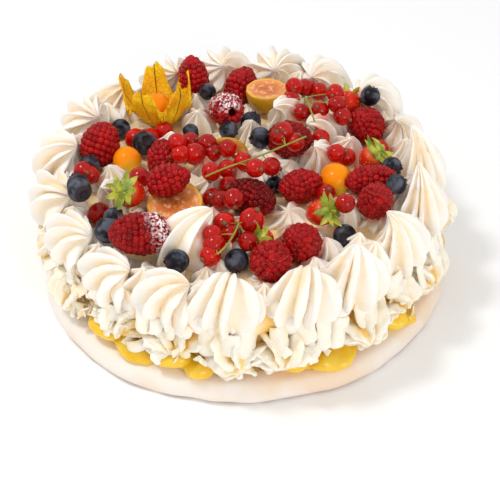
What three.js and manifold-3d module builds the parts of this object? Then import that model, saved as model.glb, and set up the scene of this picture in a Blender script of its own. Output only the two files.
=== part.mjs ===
// A round berry pavlova. From the bottom up: a thin meringue disc, a band of yellow curd, a ruffled
// layer of whipped cream and a thick meringue crown, piped with a star nozzle as a ring of large
// kisses round a bed of small ones. Raspberries, blueberries, red currants, strawberries, physalis
// and cut figs lie on the bed between the kisses. Every fruit is its own piece.
//
// Millimetres, +Z up. The origin is on the underside, below the middle of the cake, and the front
// faces -Y. The layers are turned profiles with uneven edges. The fruit is put down one piece after
// another, and each piece drops until it touches the crown or the fruit already there.
import * as THREE from "three";
import { mergeVertices } from "three/addons/utils/BufferGeometryUtils.js";
import Module from "manifold-3d";

const wasm = await Module();
wasm.setup();

// Driving dimensions.
const BASE_RADIUS = 122;
const BASE_TOP = 14;
const CURD_RADIUS = 111;
const CURD_TONGUE = 7;
const CURD_TOP = 20;
const CREAM_RADIUS = 108;
const CREAM_TOP = 44;
const SHELL_COUNT = 19;
const SHELL_RADIUS = 15.5;
const SHELL_LENGTH = 25;
const SHELL_TIP_RADIUS = 121;
const BED_RADIUS = 104;
const BED_TOP = 58;
const BED_RISE = 6;
const RING_COUNT = 19;
const RING_RADIUS = 106;
const CROWN_OFFSET = -2.5;
const RING_START = -92;
const RING_KISS_RADIUS = 20.5;
const RING_KISS_DEPTH = 0.78;
const RING_KISS_HEIGHT = 33;
const GAP = 0.3;

const CURRANT_RADIUS = 5.2;
const STALK_RADIUS = 0.8;
const PHYSALIS_RADIUS = 9.3;
const HUSK_RADIUS = 18.5;
const HUSK_LENGTH = 37;
const HUSK_WALL = 0.9;

const FULL_TURN = 2 * Math.PI;
const { degToRad } = THREE.MathUtils;

// A finish for each kind of piece.
const finish = (color, roughness) => new THREE.MeshStandardMaterial({ color, roughness, metalness: 0 });
const MERINGUE = finish(0xf6ede2, 0.7);
const CREAM = finish(0xf5eedc, 0.5);
const CURD = finish(0xf0bf1c, 0.35);
const RASPBERRY = finish(0xa5152a, 0.45);
const BLUEBERRY = finish(0x252b40, 0.5);
const CURRANT = finish(0xb30a0c, 0.15);
const PHYSALIS = finish(0xf58a07, 0.25);
const HUSK = finish(0xd99a1a, 0.6);
const FIG = finish(0xe29a5c, 0.45);
const STRAWBERRY = finish(0xc9200f, 0.3);

// A repeatable uneven value from -1 to 1 for the whole number n.
function uneven(n) {
  const wave = Math.sin(12.9898 * n + 4.1414) * 43758.5453;
  return 2 * (wave - Math.floor(wave)) - 1;
}

// A closed form turned round +Z from [radius, height] pairs, listed from the bottom to the top.
// reshape changes each point's { radius, angle, height } before it is placed.
function turned(profile, sides, reshape = (point) => point) {
  const outline = profile.map(([radius, height]) => new THREE.Vector2(radius, height));
  const lathe = new THREE.LatheGeometry(outline, sides).rotateX(Math.PI / 2).rotateZ(Math.PI / 2);
  lathe.deleteAttribute("normal");
  lathe.deleteAttribute("uv");
  const form = mergeVertices(lathe, 1e-3);
  const place = form.attributes.position;
  for (let i = 0; i < place.count; i++) {
    const [x, y, height] = [place.getX(i), place.getY(i), place.getZ(i)];
    const point = reshape({ radius: Math.hypot(x, y), angle: Math.atan2(y, x), height });
    place.setXYZ(
      i,
      point.radius * Math.cos(point.angle) + (point.shiftX ?? 0),
      point.radius * Math.sin(point.angle) + (point.shiftY ?? 0),
      point.height,
    );
  }
  return form;
}

// Between three.js geometry and the solids that can be joined, cut and measured.
function asSolid(geometry) {
  const form = geometry.clone();
  form.deleteAttribute("normal");
  form.deleteAttribute("uv");
  const merged = mergeVertices(form, 1e-3);
  return new wasm.Manifold(
    new wasm.Mesh({
      numProp: 3,
      vertProperties: new Float32Array(merged.attributes.position.array),
      triVerts: new Uint32Array(merged.index.array),
    }),
  );
}

function asGeometry(solid) {
  const mesh = solid.getMesh();
  const geometry = new THREE.BufferGeometry();
  geometry.setAttribute("position", new THREE.BufferAttribute(mesh.vertProperties, 3));
  geometry.setIndex(new THREE.BufferAttribute(mesh.triVerts, 1));
  geometry.computeVertexNormals();
  return geometry;
}

// The outer skin of a solid alone, without the small hollows that joining seals and loose scraps.
const outerSkin = (solid) => solid.decompose().reduce((a, b) => (a.volume() > b.volume() ? a : b));

const joined = (geometries) => asGeometry(outerSkin(wasm.Manifold.union(geometries.map(asSolid))));

// The bottom disc: flat below, with a rounded rim that runs in and out.
function baseGeometry() {
  const rim = [
    [0, 0],
    [0.97 * BASE_RADIUS, 0],
    [BASE_RADIUS, 0.45 * BASE_TOP],
    [0.985 * BASE_RADIUS, 0.8 * BASE_TOP],
    [0.95 * BASE_RADIUS, BASE_TOP],
    [0, BASE_TOP],
  ];
  return turned(rim, 40, (point) => {
    const { angle, radius } = point;
    const run = 1.2 * Math.sin(2 * angle + 0.6) + 0.8 * Math.sin(5 * angle) + 0.5 * Math.sin(11 * angle);
    return { ...point, radius: radius + (radius > 0 ? run : 0) };
  });
}

// The curd runs out in broad tongues, given as the middle and half the width in degrees.
const CURD_TONGUES = [
  [-130, 14], [-107, 10], [-69, 13], [-40, 8], [-8, 9], [28, 12], [66, 9], [101, 13], [142, 10], [176, 9],
];

function curdEdge(angle) {
  const reach = CURD_TONGUES.map(([middle, half]) => {
    const turn = degToRad(middle) - angle;
    const away = Math.abs(Math.atan2(Math.sin(turn), Math.cos(turn))) / degToRad(half);
    return away < 1 ? Math.cos((away * Math.PI) / 2) ** 0.6 : 0;
  });
  return CURD_RADIUS + CURD_TONGUE * Math.max(...reach);
}

// The curd between disc and cream. grow widens it into the knife that trims the cream above it.
function curdGeometry(grow = 0) {
  const [low, high] = [BASE_TOP + GAP - grow, CURD_TOP + grow];
  const edge = [[0, low], [1, low], [0.97, high], [0, high]];
  return turned(edge, 44, ({ radius, angle, height }) => {
    return { radius: radius * (curdEdge(angle) + grow), angle, height };
  });
}

// One piped star of meringue or cream. The section narrows to a tip, turns by twist degrees on the
// way up and leans by tip: [x, y]. The outline is in shares of the radius and the height.
const TALL_OUTLINE = [[0, 0], [0.86, 0], [1, 0.34], [0.84, 0.6], [0.36, 0.84], [0, 1]];
const LOW_OUTLINE = [[0, 0], [1, 0.1], [0.76, 0.56], [0.26, 0.86], [0, 1]];
const SHELL_OUTLINE = [[0, 0], [1, 0.25], [0.7, 0.75], [0, 1]];

function starGeometry(shape) {
  const { radius, height, outline = LOW_OUTLINE, ridges = 6, twist = 40, tip = [0, 0], depth = 0.13 } = shape;
  const profile = outline.map(([across, rise]) => [across * radius, rise * height]);
  return turned(profile, 2 * ridges, (point) => {
    const rise = point.height / height;
    return {
      radius: point.radius * (1 + depth * Math.cos(ridges * point.angle)),
      angle: point.angle + degToRad(twist) * rise,
      height: point.height,
      shiftX: tip[0] * rise * rise,
      shiftY: tip[1] * rise * rise,
    };
  });
}

// The cream: a disc with a ring of shells piped outwards on its side, trimmed flat below the crown
// and to the curd and the disc below.
function creamGeometry() {
  const [low, high] = [BASE_TOP + GAP, CREAM_TOP];
  const middle = 0.5 * (low + high);
  const shells = Array.from({ length: SHELL_COUNT }, (_, i) => {
    const angle = (FULL_TURN * (i + 0.3 * uneven(i + 200))) / SHELL_COUNT;
    const shell = starGeometry({
      radius: SHELL_RADIUS + 1.2 * uneven(i + 220),
      height: SHELL_LENGTH + 2 * uneven(i + 240),
      outline: SHELL_OUTLINE,
      ridges: 5,
      twist: 60 * uneven(i + 260),
      tip: [4 + 3 * uneven(i + 280), 5 * uneven(i + 300)],
      depth: 0.16,
    });
    return shell
      .translate(0, 0, SHELL_TIP_RADIUS - SHELL_LENGTH)
      .rotateY(Math.PI / 2)
      .translate(0, 0, middle + 1.5 * uneven(i + 320))
      .rotateZ(angle);
  });
  const disc = turned([[0, low], [CREAM_RADIUS, low], [CREAM_RADIUS, high], [0, high]], 40);
  const slab = new THREE.BoxGeometry(3 * BASE_RADIUS, 3 * BASE_RADIUS, high - low).translate(0, 0, middle);
  const whole = wasm.Manifold.union([disc, ...shells].map(asSolid));
  return asGeometry(outerSkin(whole.intersect(asSolid(slab)).subtract(asSolid(curdGeometry(GAP)))));
}

// The ring of large kisses, each a little different. They are wider along the rim than across it,
// with tips that lean in over the bed. RING_SHAPES holds the ones that stand out, counted from the
// front towards +X.
const RING_SHAPES = {
  0: { twist: 30, inward: 9, along: 0 },
  1: { inward: 8, along: 0 },
  2: { inward: 12, along: 0, twist: 60 },
  3: { height: 42, twist: 10, inward: 8, along: -4 },
  4: { height: 36, twist: 25, inward: 12 },
  5: { height: 34, twist: 15, inward: 14 },
  6: { height: 31, twist: 20, inward: 8 },
  12: { inward: 3, along: -5 },
  16: { twist: 75, height: 31 },
  17: { twist: 80, height: 29, along: 8 },
  18: { twist: 70, height: 29, along: 8 },
};

function ringKisses() {
  return Array.from({ length: RING_COUNT }, (_, i) => {
    const usual = {
      inward: 10 + 2 * uneven(i + 20),
      along: 4 * uneven(i + 40),
      height: RING_KISS_HEIGHT + 2 * uneven(i + 80),
      twist: 45 + 20 * uneven(i + 100),
    };
    const { inward, along, height, twist } = { ...usual, ...RING_SHAPES[i] };
    const radius = RING_KISS_RADIUS + 0.8 * uneven(i + 60);
    const tip = [-inward / RING_KISS_DEPTH, along];
    return starGeometry({ radius, height, outline: TALL_OUTLINE, ridges: 7, twist, tip })
      .scale(RING_KISS_DEPTH, 1, 1)
      .translate(RING_RADIUS, 0, CREAM_TOP + GAP)
      .rotateZ(degToRad(RING_START + (360 * i) / RING_COUNT + 1.5 * uneven(i)));
  });
}

// The small kisses on the bed: foot, how far the tip leans, foot radius and the height of the tip.
const BED_KISSES = [
  { at: [-34, -69], tip: [15, 9], radius: 15, top: 85 },
  { at: [0, -52], tip: [0, -3], radius: 11, top: 80 },
  { at: [24, -38], tip: [0, -3], radius: 13, top: 72 },
  { at: [60, 22], tip: [2, -6], radius: 11, top: 80 },
  { at: [46, 10], tip: [-6, -7], radius: 13, top: 84 },
  { at: [26, 50], tip: [-8, -12], radius: 13, top: 86 },
  { at: [48, 40], tip: [-10, -8], radius: 12, top: 78 },
  { at: [3, 34], tip: [1, -4], radius: 9, top: 83 },
  { at: [-29, 49], tip: [0, -6], radius: 11, top: 80 },
  { at: [-32, 68], tip: [2, -4], radius: 11, top: 78 },
  { at: [-44, 28], tip: [0, 2], radius: 11, top: 75 },
  { at: [-76, -8], tip: [-2, -2], radius: 11, top: 80 },
  { at: [-74, -20], tip: [-6, -8], radius: 10, top: 78 },
  { at: [-58, -5], tip: [1, -4], radius: 8, top: 73 },
  { at: [-62, -43], tip: [0, -5], radius: 11, top: 76 },
  { at: [55, -37], tip: [2, -2], radius: 10, top: 83 },
  { at: [-20, -12], tip: [0, -2], radius: 11, top: 75 },
];

// The height of the bed, which is highest in the middle.
const bedHeight = (radius) => BED_TOP + BED_RISE * (1 - (radius / BED_RADIUS) ** 2);

function bedKisses() {
  return BED_KISSES.map(({ at, tip, radius, top }, i) => {
    const foot = bedHeight(Math.hypot(...at)) - 4;
    const kiss = starGeometry({ radius, height: top - foot, tip, twist: 35 + 25 * uneven(i + 140) });
    return kiss.translate(at[0], at[1], foot);
  });
}

// The crown is baked in one piece: the bed with both sets of kisses.
function crownGeometry() {
  const low = CREAM_TOP + GAP;
  const top = [BED_RADIUS, 0.6 * BED_RADIUS, 0].map((radius) => [radius, bedHeight(radius)]);
  const bed = turned([[0, low], [BED_RADIUS, low], ...top], RING_COUNT);
  const ring = ringKisses().map((kiss) => kiss.translate(CROWN_OFFSET, 0, 0));
  return joined([bed.translate(CROWN_OFFSET, 0, 0), ...ring, ...bedKisses()]);
}

// A raspberry, tip up: rows of drupelets as bumps on a blunt cone.
function raspberryGeometry({ width, length }) {
  const outline = [[0, -0.5], [0.72, -0.42], [1, -0.18], [0.96, 0.08], [0.72, 0.32], [0, 0.5]];
  const profile = outline.map(([across, along]) => [(across * width) / 2, along * length]);
  return turned(profile, 12, (point) => {
    const row = profile.findIndex(([, height]) => Math.abs(height - point.height) < 1e-3);
    return { ...point, radius: point.radius * (1 + 0.06 * Math.cos(6 * point.angle + row * Math.PI)) };
  });
}

// A blueberry, crown up: a slightly flat ball with the dimple of its crown.
function blueberryGeometry({ radius }) {
  const outline = [[0, -0.92], [0.88, -0.4], [0.92, 0.36], [0.38, 0.92], [0, 0.74]];
  return turned(outline.map(([across, along]) => [across * radius, along * radius]), 8);
}

const currantGeometry = ({ radius = CURRANT_RADIUS }) => new THREE.SphereGeometry(radius, 6, 4);

// A physalis berry, stem end up.
function physalisGeometry({ radius }) {
  const outline = [[0, -1], [0.7, -0.71], [1, 0], [0.74, 0.67], [0.2, 1.05], [0, 1.12]];
  return turned(outline.map(([across, along]) => [across * radius, along * radius]), 10);
}

// The opened husk of a physalis: a thin cup that splits into five pointed petals. The petals on the
// +X side stand tall and those on the -X side are short.
function huskGeometry() {
  const petals = 5;
  const outside = [[0, 0], [0.34, 0.03], [0.74, 0.24], [1, 0.6], [0.98, 1]];
  const cup = outside.map(([across, rise]) => [across * HUSK_RADIUS, rise * HUSK_LENGTH]);
  const inside = cup.map(([radius, height], i) => {
    return [Math.max(0, radius - HUSK_WALL), height + (i < 2 ? HUSK_WALL : 0)];
  });
  return turned([...cup, ...inside.reverse()], 4 * petals, ({ radius, angle, height }) => {
    const rise = height / HUSK_LENGTH;
    const notch = 0.25 * (1 - Math.cos(petals * angle)) ** 2;
    const short = 0.5 * (1 - Math.cos(angle));
    return {
      radius: radius * (1 - 0.08 * rise * notch + 0.08 * rise * Math.abs(Math.sin(angle))),
      angle,
      height: height * (1 - rise * (0.3 * notch + 0.42 * short)),
    };
  });
}

// Half a fig, cut face up, with the rounded skin below.
function figGeometry({ radius, depth }) {
  const outline = [[0, -0.5], [0.5, -0.42], [0.9, -0.05], [1, 0.38], [0.94, 0.5], [0, 0.46]];
  const profile = outline.map(([across, along]) => [across * radius, along * depth]);
  return turned(profile, 12, (point) => {
    return { ...point, radius: point.radius * (1 + 0.04 * Math.cos(2 * point.angle)) };
  });
}

// A fig wedge on edge: the flat cut face looks along -Z and the skin bulges behind it.
function figWedgeGeometry({ radius, depth }) {
  const outline = [[0, 0], [1, 0], [0.9, 0.5], [0.5, 0.9], [0, 1]];
  const dome = turned(outline.map(([across, along]) => [across * radius, along * depth]), 12);
  const knife = new THREE.BoxGeometry(3 * radius, 3 * radius, 3 * depth).translate(-1.2 * radius, 0, 0);
  return asGeometry(asSolid(dome).intersect(asSolid(knife)));
}

// A small strawberry, tip up, with its star of five leaves at the foot.
function strawberryGeometry({ width, length }) {
  const outline = [[0, -0.56], [0.95, -0.48], [0.35, -0.44], [1, -0.2], [0.86, 0.1], [0.42, 0.38], [0, 0.5]];
  const leafTips = outline[1][1] * length;
  return turned(outline.map(([across, along]) => [(across * width) / 2, along * length]), 10, (point) => {
    const leaf = Math.abs(point.height - leafTips) < 1e-3 ? 0.7 + 0.4 * Math.cos(5 * point.angle) : 1;
    return { ...point, radius: point.radius * leaf };
  });
}

const cake = new THREE.Group();
const pile = [];

// Adds a geometry, already in its place, as one named piece.
function add(name, geometry, material) {
  geometry.computeVertexNormals();
  const mesh = new THREE.Mesh(geometry, material);
  mesh.name = name;
  cake.add(mesh);
  pile.push(asSolid(geometry));
}

const clearOf = (solid, others) => others.every((other) => other.minGap(solid, 1) >= GAP);

// Moves a solid from start along a direction, until it touches the pile or has gone the whole reach.
function travel(solid, start, direction, reach) {
  const end = start.clone().addScaledVector(direction, reach);
  const box = solid.boundingBox();
  const near = pile.filter((other) => {
    const { min, max } = other.boundingBox();
    return ["x", "y", "z"].every((axis, k) => {
      const [low, high] = [Math.min(start[axis], end[axis]), Math.max(start[axis], end[axis])];
      return min[k] < box.max[k] + high + 1 && max[k] > box.min[k] + low - 1;
    });
  });
  let way = 0;
  let step = 4;
  while (step > 0.05 && way < reach) {
    const next = start.clone().addScaledVector(direction, Math.min(reach, way + step));
    if (clearOf(solid.translate(...next), near)) way = Math.min(reach, way + step);
    else step /= 2;
  }
  return start.clone().addScaledVector(direction, way);
}

// Where a solid comes to lie, as a shift from its place. It is brought in from above and down a
// slope from each side, and then slides and sinks on the pile. The way that ends nearest is taken.
const WAY_IN = 50;
const slope = (heading, angle) =>
  new THREE.Vector3(1, 0, 0)
    .applyAxisAngle(new THREE.Vector3(0, 1, 0), degToRad(angle))
    .applyAxisAngle(new THREE.Vector3(0, 0, 1), degToRad(heading));
const DOWN = new THREE.Vector3(0, 0, -1);
const SLIDE = slope(90, 41.5);
const WAYS = [SLIDE, DOWN, slope(-90, 60), slope(0, 60), slope(180, 60)];

function restingShift(solid) {
  const ends = WAYS.map((direction) => {
    const arrived = travel(solid, direction.clone().multiplyScalar(-WAY_IN), direction, WAY_IN);
    return [SLIDE, DOWN, SLIDE, DOWN].reduce((shift, next) => travel(solid, shift, next, WAY_IN), arrived);
  });
  const miss = (shift) => shift.clone().projectOnPlane(SLIDE).length() + 0.6 * Math.abs(shift.dot(SLIDE));
  return ends.reduce((a, b) => (miss(a) <= miss(b) ? a : b));
}

// Turns a form so that its own +Z leans by tilt degrees towards heading: 0 is +X and -90 the front.
const aimed = (geometry, heading, tilt) => geometry.rotateY(degToRad(tilt)).rotateZ(degToRad(heading));

// A short stalk between two points.
function stalkGeometry(start, end) {
  const run = end.clone().sub(start);
  const stalk = new THREE.CylinderGeometry(STALK_RADIUS, STALK_RADIUS, run.length(), 3);
  const turn = new THREE.Quaternion().setFromUnitVectors(new THREE.Vector3(0, 1, 0), run.normalize());
  return stalk.applyQuaternion(turn).translate(...start.clone().add(end).multiplyScalar(0.5));
}

// A sprig of currants, joined to one form. Each berry comes to rest on its own, but hangs no lower
// from the others than its stalk lets it. Berries that don't touch an earlier one get a stalk to it.
function sprigGeometry(berries, height) {
  const sag = 0.6;
  const rested = berries.map(([x, y, radius = CURRANT_RADIUS]) => {
    const berry = currantGeometry({ radius }).translate(x, y, height);
    return new THREE.Vector3(x, y, height).add(restingShift(asSolid(berry)));
  });
  const centres = rested.map(({ x, y, z }) => {
    const held = rested.map((other) => other.z - sag * Math.hypot(other.x - x, other.y - y));
    return new THREE.Vector3(x, y, Math.max(z, ...held));
  });
  const balls = centres.map((centre, i) => currantGeometry({ radius: berries[i][2] }).translate(...centre));
  const stalks = centres.slice(1).flatMap((centre, i) => {
    const nearest = centres
      .slice(0, i + 1)
      .reduce((a, b) => (a.distanceTo(centre) < b.distanceTo(centre) ? a : b));
    return nearest.distanceTo(centre) > 1.75 * CURRANT_RADIUS ? [stalkGeometry(nearest, centre)] : [];
  });
  return joined([...balls, ...stalks]);
}

// Lifts a form in small steps until it is clear of the pile.
function lifted(geometry) {
  const step = 0.25;
  let solid = asSolid(geometry);
  while (!clearOf(solid, pile)) {
    geometry.translate(0, 0, step);
    solid = solid.translate(0, 0, step);
  }
  return geometry;
}

add("meringue_base", baseGeometry(), MERINGUE);
add("curd", curdGeometry(), CURD);
add("whipped_cream", creamGeometry(), CREAM);
add("meringue_crown", crownGeometry(), MERINGUE);

// The fruit, laid from the back to the front, with the long sprigs last. at is a point on the way
// that each piece comes in by: [x, y, z]. heading and tilt aim the tip of a raspberry or a
// strawberry, the crown of a blueberry, the stem end of a physalis and the cut face of a fig. A
// sprig lists its berries as [x, y] or [x, y, radius], all at one height on their way.
const MAKERS = {
  raspberry: [raspberryGeometry, RASPBERRY],
  blueberry: [blueberryGeometry, BLUEBERRY],
  currant: [currantGeometry, CURRANT],
  physalis: [physalisGeometry, PHYSALIS],
  fig_half: [figGeometry, FIG],
  fig_wedge: [figWedgeGeometry, FIG],
  strawberry: [strawberryGeometry, STRAWBERRY],
};

const FRUIT = [
  { kind: "raspberry", at: [-33, 79, 77], heading: 120, tilt: 12, width: 19, length: 24 },
  { kind: "blueberry", at: [-23, 80, 67], heading: -120, tilt: 70, radius: 5.4 },
  { kind: "raspberry", at: [-2, 81, 76], heading: 60, tilt: 60, width: 19, length: 21 },
  { kind: "strawberry", at: [60, 60, 72], heading: -110, tilt: 70, width: 17, length: 19 },
  { kind: "fig_half", at: [12, 67, 76], heading: 20, tilt: 10, radius: 13.5, depth: 20 },
  { kind: "blueberry", at: [76, 62, 76], heading: 60, tilt: 30, radius: 6.2 },
  { kind: "raspberry", at: [-13, 50, 76], heading: 120, tilt: 110, width: 20, length: 19 },
  { kind: "blueberry", at: [0, 47, 69], heading: 30, tilt: 40, radius: 6.4 },
  { kind: "raspberry", at: [72, 40, 74], heading: -140, tilt: 45, width: 21, length: 22 },
  { kind: "blueberry", at: [-76, 41, 70], heading: -90, tilt: 60, radius: 6.2 },
  { kind: "husk", at: [-53, 48, 66], heading: 100, tilt: 28 },
  { kind: "sprig", height: 66, berries: [[-49, 36], [-57, 36], [-66, 34, 6.2]] },
  { kind: "blueberry", at: [-33, 36, 70], heading: -40, tilt: 100, radius: 5 },
  { kind: "blueberry", at: [-10, 32, 74], heading: 0, tilt: 90, radius: 5.8 },
  { kind: "blueberry", at: [-60, 24, 70], heading: -60, tilt: 40, radius: 7.4 },
  { kind: "blueberry", at: [10, 22, 76], heading: -150, tilt: 80, radius: 6.6 },
  { kind: "raspberry", at: [-84, 19, 76], heading: 60, tilt: 40, width: 23, length: 22 },
  { kind: "raspberry", at: [28, 17, 76], heading: -30, tilt: 70, width: 21, length: 24 },
  { kind: "currant", at: [80, 17, 72], radius: 6 },
  { kind: "fig_wedge", at: [-6, 14, 74], heading: -90, tilt: 120, radius: 13, depth: 7 },
  { kind: "sprig", height: 68, berries: [[45, 21], [53, 15], [59, 7]] },
  { kind: "blueberry", at: [-91, 11, 68], heading: 20, tilt: 30, radius: 6.4 },
  { kind: "strawberry", at: [72, 6, 72], heading: 160, tilt: 110, width: 16, length: 18 },
  { kind: "physalis", at: [-69, 5, 74], heading: -70, tilt: 120, radius: 8.6 },
  { kind: "raspberry", at: [-48, 5, 76], heading: 90, tilt: 70, width: 18, length: 20 },
  { kind: "blueberry", at: [84, 1, 70], heading: -30, tilt: 90, radius: 6 },
  { kind: "sprig", height: 68, berries: [[-93, 0], [-87, -8]] },
  { kind: "currant", at: [-60, -9, 70], radius: 5.7 },
  { kind: "blueberry", at: [-93, -12, 66], heading: 120, tilt: 50, radius: 6.6 },
  { kind: "blueberry", at: [84, -14, 68], heading: 30, tilt: 90, radius: 6 },
  { kind: "blueberry", at: [17, -16, 70], heading: 90, tilt: 60, radius: 5.4 },
  { kind: "physalis", at: [52, -17, 76], heading: -60, tilt: 130, radius: 9.6 },
  { kind: "fig_half", at: [-39, -42, 73], heading: -100, tilt: 8, radius: 16.5, depth: 10 },
  { kind: "raspberry", at: [-42, -14, 72], heading: 10, tilt: 80, width: 18, length: 21 },
  { kind: "raspberry", at: [71, -18, 75], heading: -170, tilt: 85, width: 18, length: 26 },
  { kind: "blueberry", at: [-91, -30, 78], heading: -60, tilt: 80, radius: 7 },
  { kind: "raspberry", at: [30, -28, 80], heading: -150, tilt: 75, width: 19, length: 23 },
  { kind: "strawberry", at: [-57, -29, 70], heading: 40, tilt: 110, width: 17, length: 19 },
  { kind: "sprig", height: 72, berries: [[46, -28], [55, -41]] },
  { kind: "raspberry", at: [6, -35, 76], heading: -40, tilt: 80, width: 21, length: 26 },
  { kind: "blueberry", at: [-72, -41, 66], heading: 40, tilt: 40, radius: 6 },
  { kind: "currant", at: [-82, -38, 68], radius: 6.2 },
  { kind: "strawberry", at: [40, -40, 70], heading: 170, tilt: 95, width: 15, length: 19 },
  { kind: "raspberry", at: [76, -40, 74], heading: -70, tilt: 35, width: 19, length: 21 },
  { kind: "blueberry", at: [-74, -56, 70], heading: 150, tilt: 60, radius: 7.2 },
  { kind: "blueberry", at: [55, -59, 70], heading: -90, tilt: 60, radius: 6.6 },
  { kind: "strawberry", at: [12, -62, 70], heading: 60, tilt: 100, width: 14, length: 16 },
  { kind: "raspberry", at: [-57, -69, 72], heading: -165, tilt: 80, width: 23, length: 29 },
  { kind: "raspberry", at: [30, -70, 74], heading: -110, tilt: 40, width: 21, length: 25 },
  { kind: "blueberry", at: [-4, -77, 68], heading: -100, tilt: 110, radius: 6.8 },
  { kind: "blueberry", at: [-35, -78, 68], heading: -160, tilt: 90, radius: 6.8 },
  { kind: "raspberry", at: [14, -80, 70], heading: -90, tilt: 50, width: 22, length: 20 },
  {
    kind: "sprig",
    height: 78,
    berries: [
      [54, 62], [46, 60], [40, 71], [30, 71], [28, 57], [37, 60], [55, 51], [45, 41], [34, 43], [58, 31],
      [51, 29], [41, 31],
    ],
  },
  {
    kind: "sprig",
    height: 82,
    berries: [
      [22, 15, 5.6], [29, -6], [20, -7], [15, -16], [6, -19], [-1, -17], [-10, -18], [-19, -21],
      [-10, 1], [-19, -2], [-22, 6, 5.6], [-29, -13, 6.2], [-32, 1], [-37, -8], [-39, 6],
    ],
  },
  {
    kind: "sprig",
    height: 76,
    berries: [
      [-9, -24, 5.6], [-18, -37, 5.6], [-6, -36, 5.8], [-13, -47], [-11, -57, 6.2], [4, -54, 6.6],
      [-17, -66], [-8, -70], [-16, -76, 5.8], [2, -71], [-18, -88, 5.4],
    ],
  },
];

const counts = {};
function nextName(kind) {
  counts[kind] = (counts[kind] ?? 0) + 1;
  return `${kind}_${counts[kind]}`;
}

function layPiece({ kind, at, heading = 0, tilt = 0, ...sizes }) {
  const [makeGeometry, material] = MAKERS[kind];
  const piece = aimed(makeGeometry(sizes), heading, tilt).translate(...at);
  add(nextName(kind), piece.translate(...restingShift(asSolid(piece))), material);
}

// The husk comes with its own berry, which sits on the husk's axis, seat above its foot.
function layHusk({ at, heading, tilt }) {
  const seat = 11.7;
  const husk = aimed(huskGeometry(), heading, tilt).translate(...at);
  const shift = restingShift(asSolid(husk));
  const upright = physalisGeometry({ radius: PHYSALIS_RADIUS }).rotateX(Math.PI).translate(0, 0, seat);
  const berry = aimed(upright, heading, tilt);
  add("physalis_husk", husk.translate(...shift), HUSK);
  add(nextName("physalis"), berry.translate(...at).translate(...shift), PHYSALIS);
}

function laySprig({ berries, height }) {
  add(nextName("currant_sprig"), lifted(sprigGeometry(berries, height)), CURRANT);
}

const LAY = { husk: layHusk, sprig: laySprig };
for (const fruit of FRUIT) (LAY[fruit.kind] ?? layPiece)(fruit);

// The origin goes below the middle of the whole cake.
const extent = new THREE.Box3().setFromObject(cake);
const middle = extent.getCenter(new THREE.Vector3());
cake.position.set(-middle.x, -middle.y, -extent.min.z);

export default cake;
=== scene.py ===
import math
import random

import bmesh
import bpy
from mathutils import Matrix, Vector, noise
from mathutils.bvhtree import BVHTree


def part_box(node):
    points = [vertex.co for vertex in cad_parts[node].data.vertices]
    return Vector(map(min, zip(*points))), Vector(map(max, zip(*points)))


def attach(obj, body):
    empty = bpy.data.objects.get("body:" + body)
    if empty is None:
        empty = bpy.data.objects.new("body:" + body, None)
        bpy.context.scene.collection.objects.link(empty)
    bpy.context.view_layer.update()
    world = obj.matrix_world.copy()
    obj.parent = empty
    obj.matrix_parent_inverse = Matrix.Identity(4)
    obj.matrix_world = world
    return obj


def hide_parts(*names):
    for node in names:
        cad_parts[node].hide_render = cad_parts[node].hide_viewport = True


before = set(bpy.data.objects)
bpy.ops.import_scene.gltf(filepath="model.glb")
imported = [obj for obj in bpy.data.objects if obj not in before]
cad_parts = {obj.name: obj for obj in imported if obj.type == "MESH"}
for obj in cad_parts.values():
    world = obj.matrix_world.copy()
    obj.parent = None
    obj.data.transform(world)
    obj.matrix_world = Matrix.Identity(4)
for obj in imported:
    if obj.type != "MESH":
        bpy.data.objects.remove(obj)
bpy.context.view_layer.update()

# The bottom disc is a thin round of meringue, spread with a knife and dried in a slow oven. Its
# rounded rim runs in and out a little, and it is coloured darker brown in patches towards its foot.
# Sizes are in millimetres from the cake's own axis, which lies a little beside the frame's origin.
MM = 0.001
CAKE_SHIFT = Vector((1.29, 0.69, 0))
BASE_RADIUS = 122
BASE_TOP = 14
# The rim from the foot up, each point as a share of the radius and a height.
BASE_OUTLINE = [
    (0.97, 0), (0.99, 1.2), (1.0, 4), (1.0, 7), (0.99, 10), (0.975, 12.6), (0.95, BASE_TOP), (0.88, BASE_TOP),
]
DISC_PALE, DISC_TAN, DISC_BROWN = (0.90, 0.82, 0.74), (0.88, 0.70, 0.53), (0.50, 0.30, 0.17)


def alone(obj):
    """Selects one object and nothing else."""
    bpy.ops.object.select_all(action="DESELECT")
    obj.select_set(True)
    bpy.context.view_layer.objects.active = obj
    return obj


def opened(obj, action="SELECT"):
    """Opens a form for editing, with all of it selected unless the action says otherwise."""
    alone(obj)
    bpy.ops.object.mode_set(mode="EDIT")
    bpy.ops.mesh.select_all(action=action)


def closed(obj):
    bpy.ops.object.mode_set(mode="OBJECT")
    return obj


def added(primitive, **settings):
    """Adds a primitive while nothing else is selected."""
    bpy.ops.object.select_all(action="DESELECT")
    primitive(**settings)
    return bpy.context.object


def flat_ring(sides):
    """A flat round outline, from which a form is drawn up."""
    return added(bpy.ops.mesh.primitive_circle_add, vertices=sides, radius=1, fill_type="NGON")


def shifted(x, y, z):
    return Matrix.Translation((x, y, z))


def scaled(outline, radius, height=1):
    """An outline's shares of a radius and a height, as millimetres."""
    return [(across * radius, rise * height) for across, rise in outline]


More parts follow.
